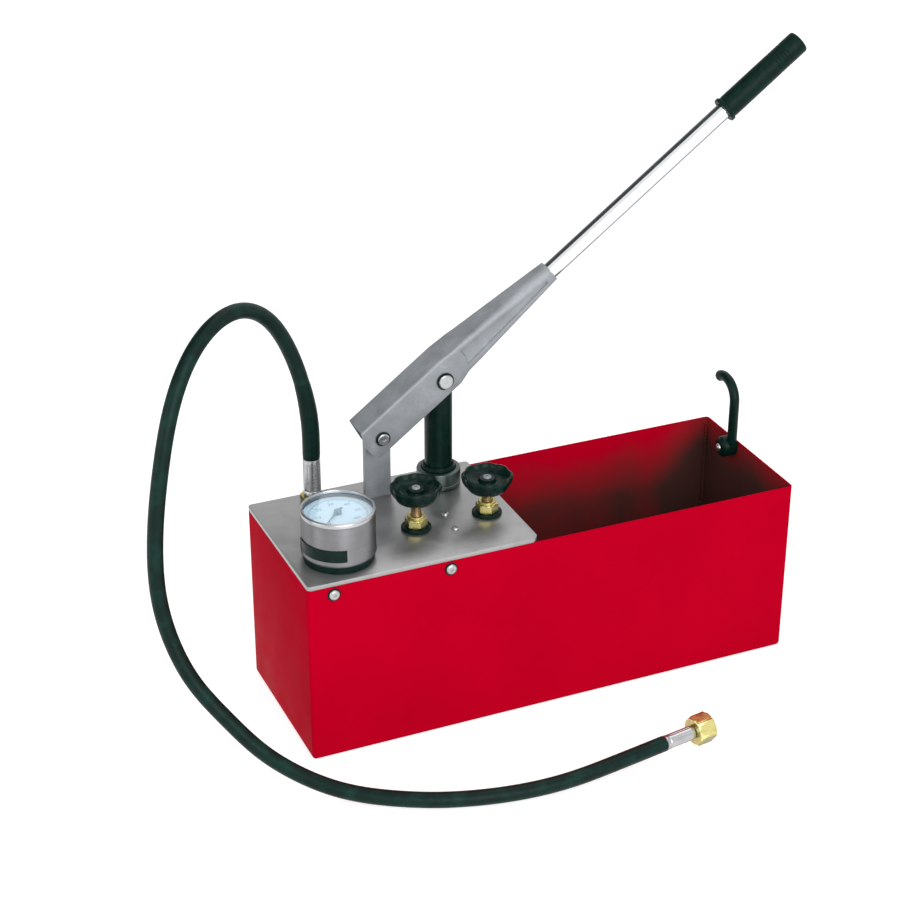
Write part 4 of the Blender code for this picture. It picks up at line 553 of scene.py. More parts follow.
def worn_brass(colours):
    """Brown, handled brass of the valve spindles."""
    made = Finish("worn_brass", WORN_BRASS, 0.34, 0.9)
    wear = made.noise(180.0, 5.0)
    made.coloured(made.mixed(made.ranged(wear, 0.35, 0.7), made.shade(0.6), made.shade(1.35)))
    made.roughened(made.ranged(wear, 0.3, 0.7, 0.28, 0.46))
    made.bumped(made.noise(900.0, 2.0), 0.00005, 0.2)
    return made.material


def cast_aluminium(colours):
    """Sand-cast metal of the hidden valve block."""
    made = Finish("cast_aluminium", ALUMINIUM, 0.55, 0.85)
    grain = made.noise(420.0, 4.0)
    made.coloured(made.mixed(made.ranged(grain, 0.3, 0.7), made.shade(0.82), made.shade(1.1)))
    made.roughened(made.ranged(grain, 0.3, 0.7, 0.45, 0.65))
    made.bumped(grain, 0.0003, 0.5)
    return made.material


def black_finish(name, colours, roughness, specular, wear_shade, wear_scale,
                 grain_scale, grain_depth):
    """A dark finish with rubbed patches and a fine surface grain."""
    made = Finish(name, colours.black, roughness)
    made.shader.inputs["Specular IOR Level"].default_value = specular
    wear = made.ranged(made.noise(wear_scale, 6.0), 0.45, 0.8)
    made.coloured(made.mixed(wear, made.shade(0.8), made.shade(wear_shade)))
    dulling = made.noise(wear_scale * 1.4, 4.0)
    made.roughened(made.ranged(dulling, 0.3, 0.7, roughness - 0.07, roughness + 0.09))
    made.bumped(made.noise(grain_scale, 2.0), grain_depth, 0.3)
    return made


def black_coating(colours):
    """Black coating on the plunger and the hook."""
    return black_finish("black_coating", colours, 0.34, 0.12, 1.6, 80.0, 800.0, 0.00006).material


def moulded_black(colours):
    """Moulded plastic of the knobs."""
    return black_finish("moulded_black", colours, 0.26, 0.13, 1.5, 70.0, 1100.0, 0.00005).material


def black_rubber(colours):
    """Rubber of the grip, seals and gaskets."""
    return black_finish("black_rubber", colours, 0.40, 0.10, 1.4, 150.0, 1300.0, 0.00004).material


def dial_enamel(colours):
    """Pale lacquer of the scale plate."""
    made = Finish("dial_enamel", colours.dial, 0.45)
    cloud = made.noise(30.0, 3.0)
    made.coloured(made.mixed(made.ranged(cloud, 0.3, 0.7), made.shade(0.96), made.shade(1.03)))
    made.roughened(made.ranged(cloud, 0.3, 0.7, 0.4, 0.5))
    return made.material


def dial_ink(colours):
    """Print on the dial."""
    made = Finish("dial_ink", INK, 0.5)
    grain = made.noise(2500.0, 1.0)
    made.coloured(made.mixed(made.ranged(grain, 0.3, 0.7), made.shade(0.8), made.shade(1.5)))
    return made.material


def window_glass(colours):
    """Gauge glass, which lets the lamps through to the dial."""
    made = Finish("window_glass", GLASS, 0.03)
    made.shader.inputs["Transmission Weight"].default_value = 1.0
    made.shader.inputs["IOR"].default_value = 1.45
    smear = made.noise(55.0, 4.0)
    made.roughened(made.ranged(smear, 0.4, 0.8, 0.02, 0.08))
    clear = made.node("ShaderNodeBsdfTransparent")
    clear.inputs["Color"].default_value = GLASS_SHADOW
    mix = made.node("ShaderNodeMixShader")
    rays = made.node("ShaderNodeLightPath")
    made.link(rays.outputs["Is Shadow Ray"], mix.inputs["Fac"])
    made.link(made.shader.outputs["BSDF"], mix.inputs[1])
    made.link(clear.outputs["BSDF"], mix.inputs[2])
    made.link(mix.outputs["Shader"], made.tree.nodes["Material Output"].inputs["Surface"])
    return made.material


def wrapped_rubber(colours):
    """Hose cover with the fine weave that its wrapping leaves, along the hose's own map."""
    made = black_finish("wrapped_rubber", colours, 0.42, 0.14, 2.2, 70.0, 1500.0, 0.00004)
    along = made.node("ShaderNodeUVMap", uv_map=HOSE_MAP).outputs["UV"]
    weave = []
    for turn in (0.7, -0.7):
        wave = made.node("ShaderNodeTexWave", wave_type="BANDS", bands_direction="X")
        wave.inputs["Scale"].default_value = 220.0
        made.link(made.mapped((1, 1, 1), (0, 0, turn), along), wave.inputs["Vector"])
        weave.append(wave.outputs["Fac"])
    made.bumped(made.maths("ADD", weave[0], weave[1]), 0.00012, 0.3)
    return made.material


# For each look its maker, which is called with the panel's colours, and the part's material slot.
FINISH_MAKERS = {
    "red_enamel": (red_enamel, "red_paint"),
    "zinc_plating": (zinc_plating, "zinc_plate"), "dull_zinc": (dull_zinc, "zinc_plate"),
    "bright_steel": (bright_steel, "bright_steel"), "brushed_steel": (brushed_steel, "bright_steel"),
    "dark_steel": (dark_steel, "bright_steel"), "chrome_plating": (chrome_plating, "chrome"),
    "turned_brass": (turned_brass, "brass"), "worn_brass": (worn_brass, "brass"),
    "cast_aluminium": (cast_aluminium, "cast_aluminium"),
    "black_coating": (black_coating, "black_coat"), "moulded_black": (moulded_black, "black_plastic"),
    "black_rubber": (black_rubber, "black_rubber"), "wrapped_rubber": (wrapped_rubber, "black_rubber"),
    "dial_enamel": (dial_enamel, "dial_white"), "dial_ink": (dial_ink, "black_plastic"),
    "window_glass": (window_glass, "clear_glass"),
}


def finish(name):
    """The named material, made when it is first asked for."""
    if f"{name}_finish" not in bpy.data.materials:
        FINISH_MAKERS[name][0](bpy.context.scene.pump_colours)
    return bpy.data.materials[f"{name}_finish"]


def add_piece(name, bm, look, body, *nodes):
    """Finishes a mesh as a piece of the pump that rides on a body and stands for frame nodes."""
    mesh = bpy.data.meshes.new(name)
    bm.to_mesh(mesh)
    bm.free()
    mesh.materials.append(finish(look))
    mesh.shade_smooth()
    mesh.set_sharp_from_angle(angle=SMOOTH_BELOW)
    piece = bpy.data.objects.new(name, mesh)
    bpy.context.scene.collection.objects.link(piece)
    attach(piece, body)
    if nodes:
        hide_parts(*nodes)
    return piece


def soften(bm, width, segments=2, above=math.radians(38)):
    """Rounds every edge sharper than an angle."""
    edges = [edge for edge in bm.edges if len(edge.link_faces) == 2 and edge.calc_face_angle() > above]
    bmesh.ops.bevel(bm, geom=edges, offset=width, offset_type="OFFSET", segments=segments, profile=0.5,
                    affect="EDGES", clamp_overlap=True, material=-1)


def refined(node, width):
    """A copy of a frame node with its faces joined and its edges rounded."""
    bm = bmesh.new()
    bm.from_mesh(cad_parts[node].data)
    bmesh.ops.remove_doubles(bm, verts=bm.verts, dist=WELD)
    bmesh.ops.dissolve_limit(bm, angle_limit=math.radians(0.5), verts=bm.verts, edges=bm.edges)
    soften(bm, width)
    return bm


def facing(way):
    """The turn that lays Z along a direction."""
    return Vector(way).to_track_quat("Z", "Y").to_matrix().to_4x4()


def lathe(profile, ring=False, steps=ROUND_STEPS):
    """Turns (radius, height) points about Z. A ring's profile is closed."""
    bm = bmesh.new()
    verts = [bm.verts.new((radius, 0.0, height)) for radius, height in profile]
    edges = [bm.edges.new(pair) for pair in zip(verts, verts[1:])]
    if ring:
        edges.append(bm.edges.new((verts[-1], verts[0])))
    bmesh.ops.spin(bm, geom=verts + edges, cent=(0, 0, 0), axis=(0, 0, 1), angle=2 * math.pi,
                   steps=steps, use_merge=True)
    bmesh.ops.remove_doubles(bm, verts=bm.verts, dist=WELD)
    bmesh.ops.recalc_face_normals(bm, faces=bm.faces)
    return bm


def rotated(bm, angle, axis="Z"):
    """Turns a mesh about an axis through the origin."""
    bmesh.ops.rotate(bm, cent=(0, 0, 0), matrix=Matrix.Rotation(angle, 3, axis), verts=bm.verts)
    return bm


def put(bm, place, way=(0, 0, 1)):
    """Moves a mesh from the origin to its place, with Z along a direction."""
    turn = Matrix.Identity(4) if tuple(way) == (0, 0, 1) else facing(way)
    bmesh.ops.transform(bm, matrix=Matrix.Translation(Vector(place)) @ turn, verts=bm.verts)
    return bm


def to_hexagon(bm, flats, low, high, chamfer, reach=1.0):
    """Squeezes the turned surface between two heights to a hexagon with chamfered corners."""
    corner = flats / math.sqrt(3)
    for vert in bm.verts:
        radius = math.hypot(vert.co.x, vert.co.y)
        if low - WELD <= vert.co.z <= high + WELD and flats / 2 * 0.98 < radius < reach:
            angle = math.atan2(vert.co.y, vert.co.x)
            off = (angle + math.pi / 6) % (math.pi / 3) - math.pi / 6
            near_end = min(vert.co.z - low, high - vert.co.z)
            limit = corner - max(0.0, chamfer - near_end) * 1.7
            wanted = max(flats / 2, min(flats / 2 / math.cos(off), limit))
            vert.co.x *= wanted / radius
            vert.co.y *= wanted / radius


def levels(low, high, chamfer):
    """Heights that let a chamfered hexagon follow its chamfers."""
    near = (0.0, 0.35, 0.7, 1.0)
    return ([low + chamfer * share for share in near]
            + [high - chamfer * share for share in reversed(near)])


def gathered(target, source):
    """Adds one mesh to another and frees it."""
    mesh = bpy.data.meshes.new("gathered")
    source.to_mesh(mesh)
    source.free()
    target.from_mesh(mesh)
    bpy.data.meshes.remove(mesh)
    return target


def block(low, high, edge=0.0):
    """A box between two corners."""
    low, high = Vector(low), Vector(high)
    bm = bmesh.new()
    bmesh.ops.create_cube(bm, size=1.0, matrix=Matrix.Diagonal((*(high - low), 1.0)))
    bmesh.ops.translate(bm, vec=(low + high) / 2, verts=bm.verts)
    if edge:
        soften(bm, edge)
    return bm


def arc(centre, radius, start, end, steps):
    """Points on an arc, with angles in degrees."""
    turns = [math.radians(start + (end - start) * i / steps) for i in range(steps + 1)]
    return [(centre[0] + radius * math.cos(turn), centre[1] + radius * math.sin(turn)) for turn in turns]


def rounded(*corners):
    """A closed outline of quarter arcs, each given by its centre, radius, first angle and steps."""
    return [point for centre, radius, start, steps in corners
            for point in arc(centre, radius, start, start + 90, steps)]


def cut_sheet(outlines, low, high, edge):
    """A flat sheet with rounded edges, cut to its outline and to the holes' outlines."""
    bm = bmesh.new()
    for outline in outlines:
        verts = [bm.verts.new((x, y, low)) for x, y in outline]
        for pair in zip(verts, verts[1:] + verts[:1]):
            bm.edges.new(pair)
    bmesh.ops.triangle_fill(bm, use_beauty=True, edges=bm.edges[:])
    grown = bmesh.ops.extrude_face_region(bm, geom=bm.faces[:])["geom"]
    lifted = [part for part in grown if isinstance(part, bmesh.types.BMVert)]
    bmesh.ops.translate(bm, vec=(0, 0, high - low), verts=lifted)
    bmesh.ops.recalc_face_normals(bm, faces=bm.faces)
    bmesh.ops.dissolve_limit(bm, angle_limit=math.radians(0.5), verts=bm.verts, edges=bm.edges)
    if edge:
        soften(bm, edge, above=math.radians(55))
    return bm


def button_screw(head, height, shank, length, socket):
    """A domed screw with a hexagon socket. Its seat is at height zero."""
    floor = height * 0.35
    profile = [(0.0, floor), (socket, floor), (socket, height * 0.6), (socket, height * 0.93)]
    profile += [(head * across, height * up) for across, up in
                ((0.55, 1.0), (0.74, 0.92), (0.88, 0.74), (0.97, 0.45), (1.0, 0.16), (1.0, 0.0))]
    profile += [(shank, 0.0), (shank, -length), (0.0, -length)]
    bm = lathe(profile, steps=SMALL_STEPS)
    to_hexagon(bm, socket * math.sqrt(3), 0.0, height * 0.95, 0.0, socket * 1.05)
    return bm


def add_turned(name, profile, look, body, node, place, way=(0, 0, 1), ring=True, steps=ROUND_STEPS):
    """Adds a piece that is turned from its profile and laid along a direction."""
    return add_piece(name, put(lathe(profile, ring, steps), place, way), look, body, node)


def flute(bm, count, depth, low, high, sharpness):
    """Presses shallow lengthwise hollows into a turned piece between two heights."""
    for vert in bm.verts:
        radius = math.hypot(vert.co.x, vert.co.y)
        if low <= vert.co.z <= high and radius > 0:
            angle = math.atan2(vert.co.y, vert.co.x)
            share = (0.5 + 0.5 * math.cos(count * angle)) ** sharpness
            vert.co.x *= 1 - depth * share / radius
            vert.co.y *= 1 - depth * share / radius


def threaded(radius, low, high, pitch, depth):
    """Profile points of a thread's ridges, from low to high."""
    turns = max(1, round((high - low) / pitch))
    step = (high - low) / turns
    points = []
    for turn in range(turns):
        points += [(radius - depth, low + step * turn), (radius, low + step * (turn + 0.4)),
                   (radius, low + step * (turn + 0.6))]
    return points + [(radius - depth, high)]


class TESTPUMP_OT_stage(bpy.types.Operator):
    """Camera, floor, lamps and even light"""
    bl_idname = "testpump.stage"
    bl_label = "Stage"

    def execute(self, context):
        scene = context.scene
        stage = scene.pump_stage
        scene.view_settings.view_transform = "Standard"
        camera = bpy.data.objects.new("camera", bpy.data.cameras.new("camera"))
        camera.data.sensor_width = 36.0
        camera.data.lens = stage.lens
        camera.location = stage.camera_place
        camera.rotation_euler = (math.pi / 2 - stage.camera_tilt, 0.0, stage.camera_turn)
        scene.collection.objects.link(camera)
        scene.camera = camera
        self.make_floor(scene, stage)
        self.make_card(scene)
        self.make_world(scene, stage)
        for name, power, size, place, target in LAMPS:
            data = bpy.data.lights.new(name, "AREA")
            data.energy = getattr(stage, power)
            data.shape = "DISK"
            data.size = size
            lamp = bpy.data.objects.new(name, data)
            lamp.location = place
            lamp.rotation_euler = (Vector(target) - Vector(place)).to_track_quat("-Z", "Y").to_euler()
            scene.collection.objects.link(lamp)
        return {"FINISHED"}

    def add_sheet(self, scene, name, bm, material):
        """One of the stage's flat pieces."""
        mesh = bpy.data.meshes.new(name)
        bm.to_mesh(mesh)
        bm.free()
        mesh.materials.append(material)
        sheet = bpy.data.objects.new(name, mesh)
        scene.collection.objects.link(sheet)
        return sheet

    def make_floor(self, scene, stage):
        """White floor that keeps the pump's shadow."""
        bm = bmesh.new()
        bmesh.ops.create_grid(bm, x_segments=1, y_segments=1, size=stage.floor_size / 2)
        bmesh.ops.translate(bm, vec=(0, 0, -FLOOR_DROP), verts=bm.verts)
        paper = bpy.data.materials.new("white_paper")
        paper.use_nodes = True
        tree = paper.node_tree
        shader = tree.nodes["Principled BSDF"]
        shader.inputs["Base Color"].default_value = (0.80, 0.80, 0.80, 1.0)
        shader.inputs["Roughness"].default_value = 0.9
        shader.inputs["Specular IOR Level"].default_value = 0.1
        shader.inputs["Emission Color"].default_value = (1, 1, 1, 1)
        glow = tree.nodes.new("ShaderNodeMath")
        glow.operation = "MULTIPLY"
        glow.inputs[1].default_value = FLOOR_GLOW
        tree.links.new(self.seen_rays(tree), glow.inputs[0])
        tree.links.new(glow.outputs["Value"], shader.inputs["Emission Strength"])
        floor = self.add_sheet(scene, "floor", bm, paper)

    def make_card(self, scene):
        """Grey card above the lever that only reflections see, for the dark side of the chrome."""
        bm = bmesh.new()
        bmesh.ops.create_grid(bm, x_segments=1, y_segments=1, size=0.5)
        bmesh.ops.scale(bm, vec=(CARD_SIZE[0], CARD_SIZE[1], 1), verts=bm.verts)
        way = (Vector(CARD_TARGET) - Vector(CARD_PLACE)).normalized()
        across = Vector(LEVER_WAY)
        across = (across - way * across.dot(way)).normalized()
        turn = Matrix((across, way.cross(across), way)).transposed().to_4x4()
        bmesh.ops.transform(bm, matrix=Matrix.Translation(CARD_PLACE) @ turn, verts=bm.verts)
        grey = bpy.data.materials.new("grey_card")
        grey.use_nodes = True
        glow = grey.node_tree.nodes["Principled BSDF"]
        glow.inputs["Base Color"].default_value = (0.0, 0.0, 0.0, 1.0)
        glow.inputs["Specular IOR Level"].default_value = 0.0
        glow.inputs["Emission Color"].default_value = CARD_GREY
        glow.inputs["Emission Strength"].default_value = 1.0
        card = self.add_sheet(scene, "grey_card", bm, grey)
        card.visible_camera = False
        card.visible_diffuse = False
        card.visible_transmission = False
        card.visible_shadow = False

    def make_world(self, scene, stage):
        """Even white light, which the camera, reflections and glass see as plain white."""
        world = bpy.data.worlds.new("studio")
        world.use_nodes = True
        tree = world.node_tree
        background = tree.nodes["Background"]
        background.inputs["Color"].default_value = (1, 1, 1, 1)
        strength = tree.nodes.new("ShaderNodeMapRange")
        strength.inputs["To Min"].default_value = stage.sky
        strength.inputs["To Max"].default_value = 1.0
        tree.links.new(self.seen_rays(tree), strength.inputs["Value"])
        tree.links.new(strength.outputs["Result"], background.inputs["Strength"])
        scene.world = world

    def seen_rays(self, tree):
        """One where the camera, a reflection or a glass looks at the surface."""
        rays = tree.nodes.new("ShaderNodeLightPath")
        total = rays.outputs["Is Camera Ray"]
        for name in ("Is Glossy Ray", "Is Transmission Ray"):
            joined = tree.nodes.new("ShaderNodeMath")
            joined.operation = "MAXIMUM"
            tree.links.new(total, joined.inputs[0])
            tree.links.new(rays.outputs[name], joined.inputs[1])
            total = joined.outputs["Value"]
        return total


def smooth_route(route, spacing):
    """Evenly spaced points on a natural cubic spline through the route's points."""
    points = np.array(route)
    spans = np.linalg.norm(np.diff(points, axis=0), axis=1)
    knots = np.concatenate(([0.0], np.cumsum(spans)))
    slopes = np.diff(points, axis=0) / spans[:, None]
    system = np.eye(len(points))
    turns = np.zeros(points.shape)
    for i in range(1, len(points) - 1):
        system[i, i - 1:i + 2] = spans[i - 1], 2 * (spans[i - 1] + spans[i]), spans[i]
        turns[i] = 6 * (slopes[i] - slopes[i - 1])
    bends = np.linalg.solve(system, turns)
    even = []
    for place in np.linspace(0.0, knots[-1], max(2, round(knots[-1] / spacing)) + 1):
        i = min(int(np.searchsorted(knots, place, side="right")) - 1, len(spans) - 1)
        left = (knots[i + 1] - place) / spans[i]
        right = 1 - left
        bow = (left ** 3 - left) * bends[i] + (right ** 3 - right) * bends[i + 1]
        even.append(Vector(left * points[i] + right * points[i + 1] + bow * spans[i] ** 2 / 6))
    return even


def tube_along(points, radii, steps=32):
    """A closed round tube through points, with a map that runs along and round it in metres."""
    bm = bmesh.new()
    layer = bm.loops.layers.uv.new(HOSE_MAP)
    side = (points[1] - points[0]).normalized().orthogonal().normalized()
    rings = []
    run = [0.0]
    for i, point in enumerate(points):
        ahead = (points[min(i + 1, len(points) - 1)] - points[max(i - 1, 0)]).normalized()
        side = (side - ahead * side.dot(ahead)).normalized()
        frame_turn = Matrix((side, ahead.cross(side), ahead)).transposed().to_4x4()
        ring = bmesh.ops.create_circle(bm, segments=steps, radius=radii[i],
                                       matrix=Matrix.Translation(point) @ frame_turn)["verts"]
        rings.append(ring)
        if i:
            run.append(run[-1] + (point - points[i - 1]).length)
    where = {vert: (i, j) for i, ring in enumerate(rings) for j, vert in enumerate(ring)}
    for ring, following in zip(rings, rings[1:]):
        edges = [edge for loop in (ring, following) for vert in loop for edge in vert.link_edges
                 if edge.other_vert(vert) in loop]
        bmesh.ops.bridge_loops(bm, edges=list(dict.fromkeys(edges)))
    for ring in (rings[0], rings[-1]):
        bmesh.ops.contextual_create(bm, geom=ring)
    bmesh.ops.recalc_face_normals(bm, faces=bm.faces)
    for face in bm.faces:
        columns = [where[loop.vert][1] for loop in face.loops]
        wraps = max(columns) - min(columns) > steps / 2
        for loop in face.loops:
            i, j = where[loop.vert]
            column = j + steps if wraps and j < steps / 2 else j
            loop[layer].uv = (run[i], column / steps * 2 * math.pi * max(radii))
    return bm


class TESTPUMP_OT_hose(bpy.types.Operator):
    """Pressure hose with its bend sleeve, ferrules and swivel nut"""
    bl_idname = "testpump.hose"
    bl_label = "Hose"

    def execute(self, context):
        route = smooth_route(HOSE_ROUTE, HOSE_STEP)
        tube = tube_along(route, [HOSE_RADIUS] * len(route))
        hose = add_piece("pressure_hose", tube, "wrapped_rubber", "pump_body", "hose")
        fittings = [self.make_sleeve(route), self.make_pump_ferrule(), *self.make_end()]
        self.make_adapter()
        return {"FINISHED"}

    def make_sleeve(self, route):
        """Bend sleeve that thins towards its free end."""
        points = route[:round(SLEEVE_LENGTH / HOSE_STEP) + 1]
        taper = SLEEVE_TAPER / HOSE_STEP
        first = len(points) - 1 - taper
        radii = [SLEEVE_RADIUS - SLEEVE_THINNING * min(1.0, max(0.0, (i - first) / taper))
                 for i in range(len(points))]
        radii[0] -= SLEEVE_THINNING / 3
        radii[-1] = HOSE_RADIUS
        sleeve = tube_along(points, radii)
        return add_piece("bend_sleeve", sleeve, "black_rubber", "pump_body", "hose_sleeve")

    def make_pump_ferrule(self):
        """Ferrule that stands on the head plate."""
        low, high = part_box("hose_ferrule_pump")
        bm = self.ferrule(half_width("hose_ferrule_pump"), high.z - low.z)
        put(bm, ((low.x + high.x) / 2, (low.y + high.y) / 2, low.z))
        return add_piece("pump_ferrule", bm, "bright_steel", "pump_body", "hose_ferrule_pump")

    def ferrule(self, radius, length):
        """A crimped ferrule with a shoulder at its foot, standing on height zero."""
        lip = 0.0012
        shares = (0.16, 0.2, 0.26, 0.34, 0.42, 0.5, 0.58, 0.66, 0.74, 0.82, 0.88)
        profile = [(0.0, 0.0), (radius - lip, 0.0), (radius, lip), (radius, length * 0.10),
                   (radius - lip / 2, length * 0.13)]
        profile += [(radius - lip / 5, length * share) for share in shares]
        profile += [(radius - lip / 5, length * 0.93), (radius - lip / 2, length - lip / 2),
                    (radius - lip, length), (0.0, length)]
        bm = lathe(profile)
        flute(bm, 8, 0.00035, length * 0.19, length * 0.89, 6.0)
        return bm

    def make_adapter(self):
        """Brass hexagon that the hose is screwed to."""
        place = middle("hose_adapter")
        low, high = ends("hose_adapter")
        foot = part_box("valve_washer_left")[0].z
        profile = [(0.0, low), (0.008, low), (0.008, foot)]
        profile += [(ADAPTER_FLATS / math.sqrt(3), height)
                    for height in levels(foot, high, ADAPTER_CHAMFER)]
        profile += [(0.0095, high), (0.0, high)]
        bm = lathe(profile)
        to_hexagon(bm, ADAPTER_FLATS, foot, high, ADAPTER_CHAMFER)
        put(bm, (place.x, place.y, 0))
        add_piece("hose_connection", bm, "turned_brass", "pump_body", "hose_adapter")

    def make_end(self):
        """The ferrule, nipple and swivel nut, built along Z and laid on the floor."""
        origin = HOSE_ROUTE[-1]
        ferrule = self.ferrule(*END_FERRULE)
        bmesh.ops.translate(ferrule, vec=(0, 0, END_GAP), verts=ferrule.verts)
        back = END_GAP + END_FERRULE[1] + END_GAP
        shoulder = back + NUT_BACK + END_GAP
        nipple = lathe([(0.0, back), (0.005, back), (0.005, shoulder), (0.0085, shoulder),
                        (0.0085, shoulder + 0.0028), (0.0074, shoulder + 0.004),
                        (0.0036, shoulder + 0.004), (0.0030, shoulder + 0.0034),
                        (0.0030, shoulder + 0.0012), (0.0, shoulder + 0.0012)],
                       steps=SMALL_STEPS)
        top = back + NUT_LENGTH
        corner = NUT_FLATS / math.sqrt(3)
        profile = [(NUT_SOCKET + 0.0012, top)]
        profile += [(corner, height) for height in reversed(levels(back, top, NUT_CHAMFER))]
        profile += [(0.0076, back), (0.0053, back), (0.0053, back + NUT_BACK),
                    (NUT_SOCKET, back + NUT_BACK)]
        profile += threaded(NUT_SOCKET + 0.0005, back + NUT_BACK + 0.0005, top - 0.0014, 0.0012, 0.0005)
        nut = lathe(profile, ring=True)
        to_hexagon(nut, NUT_FLATS, back, top, NUT_CHAMFER)
        rotated(nut, math.pi / 6)
        return [add_piece(name, put(bm, origin, END_WAY), look, body, node)
                for name, bm, look, body, node in (
                    ("end_ferrule", ferrule, "bright_steel", "pump_body", "hose_ferrule_end"),
                    ("end_nipple", nipple, "bright_steel", "pump_body", "hose_nipple"),
                    ("union_nut", nut, "turned_brass", "swivel_nut", "hose_nut"))]


class TESTPUMP_OT_trough(bpy.types.Operator):
    """Folded and welded sheet trough"""
    bl_idname = "testpump.trough"
    bl_label = "Trough"

    def execute(self, context):
        low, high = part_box("tank")
        bm = block(low, high)
        lid = [face for face in bm.faces if face.normal.z > 0.5]
        bmesh.ops.delete(bm, geom=lid, context="FACES_ONLY")
        folds = [edge for edge in bm.edges if len(edge.link_faces) == 2]
        bmesh.ops.bevel(bm, geom=folds, offset=TROUGH_FOLD, segments=6, profile=0.5,
                        affect="EDGES", material=-1)
        bmesh.ops.solidify(bm, geom=bm.faces[:], thickness=TROUGH_SHEET)
        soften(bm, TROUGH_SHEET / 3, above=math.radians(60))
        add_piece("trough", bm, "red_enamel", "pump_body", "tank")
        self.weld_corners(low, high)
        return {"FINISHED"}

    def weld_corners(self, low, high):
        """Weld beads that run down the trough's inner corners."""
        beads = bmesh.new()
        inset = TROUGH_SHEET + BEAD_INSET
        radii = [BEAD_RADIUS + 0.00025 * math.sin(i * 1.3) + 0.0001 * math.sin(i * 0.37)
                 for i in range(BEAD_POINTS)]
        for x in (low.x + inset, high.x - inset):
            for y in (low.y + inset, high.y - inset):
                points = [Vector((x, y, low.z + 0.006 + BEAD_STEP * i)) for i in range(BEAD_POINTS)]
                gathered(beads, tube_along(points, radii, 12))
        add_piece("weld_beads", beads, "red_enamel", "pump_body")


class TESTPUMP_OT_head_plate(bpy.types.Operator):
    """Zinc-plated head plate with its turned-down flanges and screws"""
    bl_idname = "testpump.head_plate"
    bl_label = "Head plate"

    def execute(self, context):
        low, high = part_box("head_plate")
        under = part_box("tank")[1].z + PLATE_GAP
        large, small = PLATE_CORNER, PLATE_BACK_CORNER
        outline = rounded(((high.x - large, low.y + large), large, -90, 16),
                          ((high.x - small, high.y - small), small, 0, 8),
                          ((low.x + small, high.y - small), small, 90, 8),
                          ((low.x + small, low.y + small), small, 180, 8))
        link = middle("rocking_link")
        (half_long, half_wide), corner = LINK_SLOT, LINK_SLOT_CORNER
        slot = rounded(((link.x + half_long - corner, PUMP_Y + half_wide - corner), corner, 0, 4),
                       ((link.x - half_long + corner, PUMP_Y + half_wide - corner), corner, 90, 4),
                       ((link.x - half_long + corner, PUMP_Y - half_wide + corner), corner, 180, 4),
                       ((link.x + half_long - corner, PUMP_Y - half_wide + corner), corner, 270, 4))
        bm = cut_sheet([outline, slot], under, high.z, context.scene.pump_sizes.sheet_edge)
        inner = FLANGE_FACE - FLANGE_SHEET
        for near, far in ((-FLANGE_FACE, -inner), (inner, FLANGE_FACE)):
            gathered(bm, block((low.x + FLANGE_INSET, near, low.z),
                               (high.x - FLANGE_INSET, far, under), FLANGE_EDGE))
        add_piece("cover_plate", bm, "zinc_plating", "pump_body", "head_plate")
        self.make_plate_screws()
        self.make_block_screws()
        return {"FINISHED"}

    def make_plate_screws(self):
        """Screws with washers through the trough's walls."""
        washers = bmesh.new()
        for end in ("left", "right"):
            for side, way in (("front", -1), ("back", 1)):
                node = f"plate_screw_{side}_{end}"
                low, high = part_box(node)
                x, z = (low.x + high.x) / 2, (low.z + high.z) / 2
                radius = half_width(node)
                outer = low.y if way < 0 else high.y
                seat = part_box("tank")[0 if way < 0 else 1].y
                height = abs(outer - seat)
                washer = SCREW_WASHER
                screw = button_screw(radius * 0.80, height - washer, 0.0029, 0.0064, 0.0017)
                put(screw, (x, seat + way * washer, z), (0, way, 0))
                add_piece(f"wall_screw_{side}_{end}", screw, "bright_steel", "pump_body", node)
                ring = lathe([(0.0031, 0.0), (radius - 0.0003, 0.0), (radius, 0.0004),
                              (radius, washer - 0.0004), (radius - 0.0004, washer), (0.0031, washer)],
                             ring=True, steps=SMALL_STEPS)
                gathered(washers, put(ring, (x, seat + way * 0.0001, z), (0, way, 0)))
        add_piece("screw_washers", washers, "black_rubber", "pump_body")

    def make_block_screws(self):
        """Small screws that hold the valve block under the plate."""
        seat = ends("head_plate")[1] + 0.0001
        for name in ("back", "front"):
            node = f"block_screw_{name}"
            place = middle(node)
            low, high = ends(node)
            screw = button_screw(half_width(node), high - seat, 0.0019, seat - low, 0.0013)
            put(screw, (place.x, place.y, seat))
            add_piece(f"cover_screw_{name}", screw, "bright_steel", "pump_body", node)


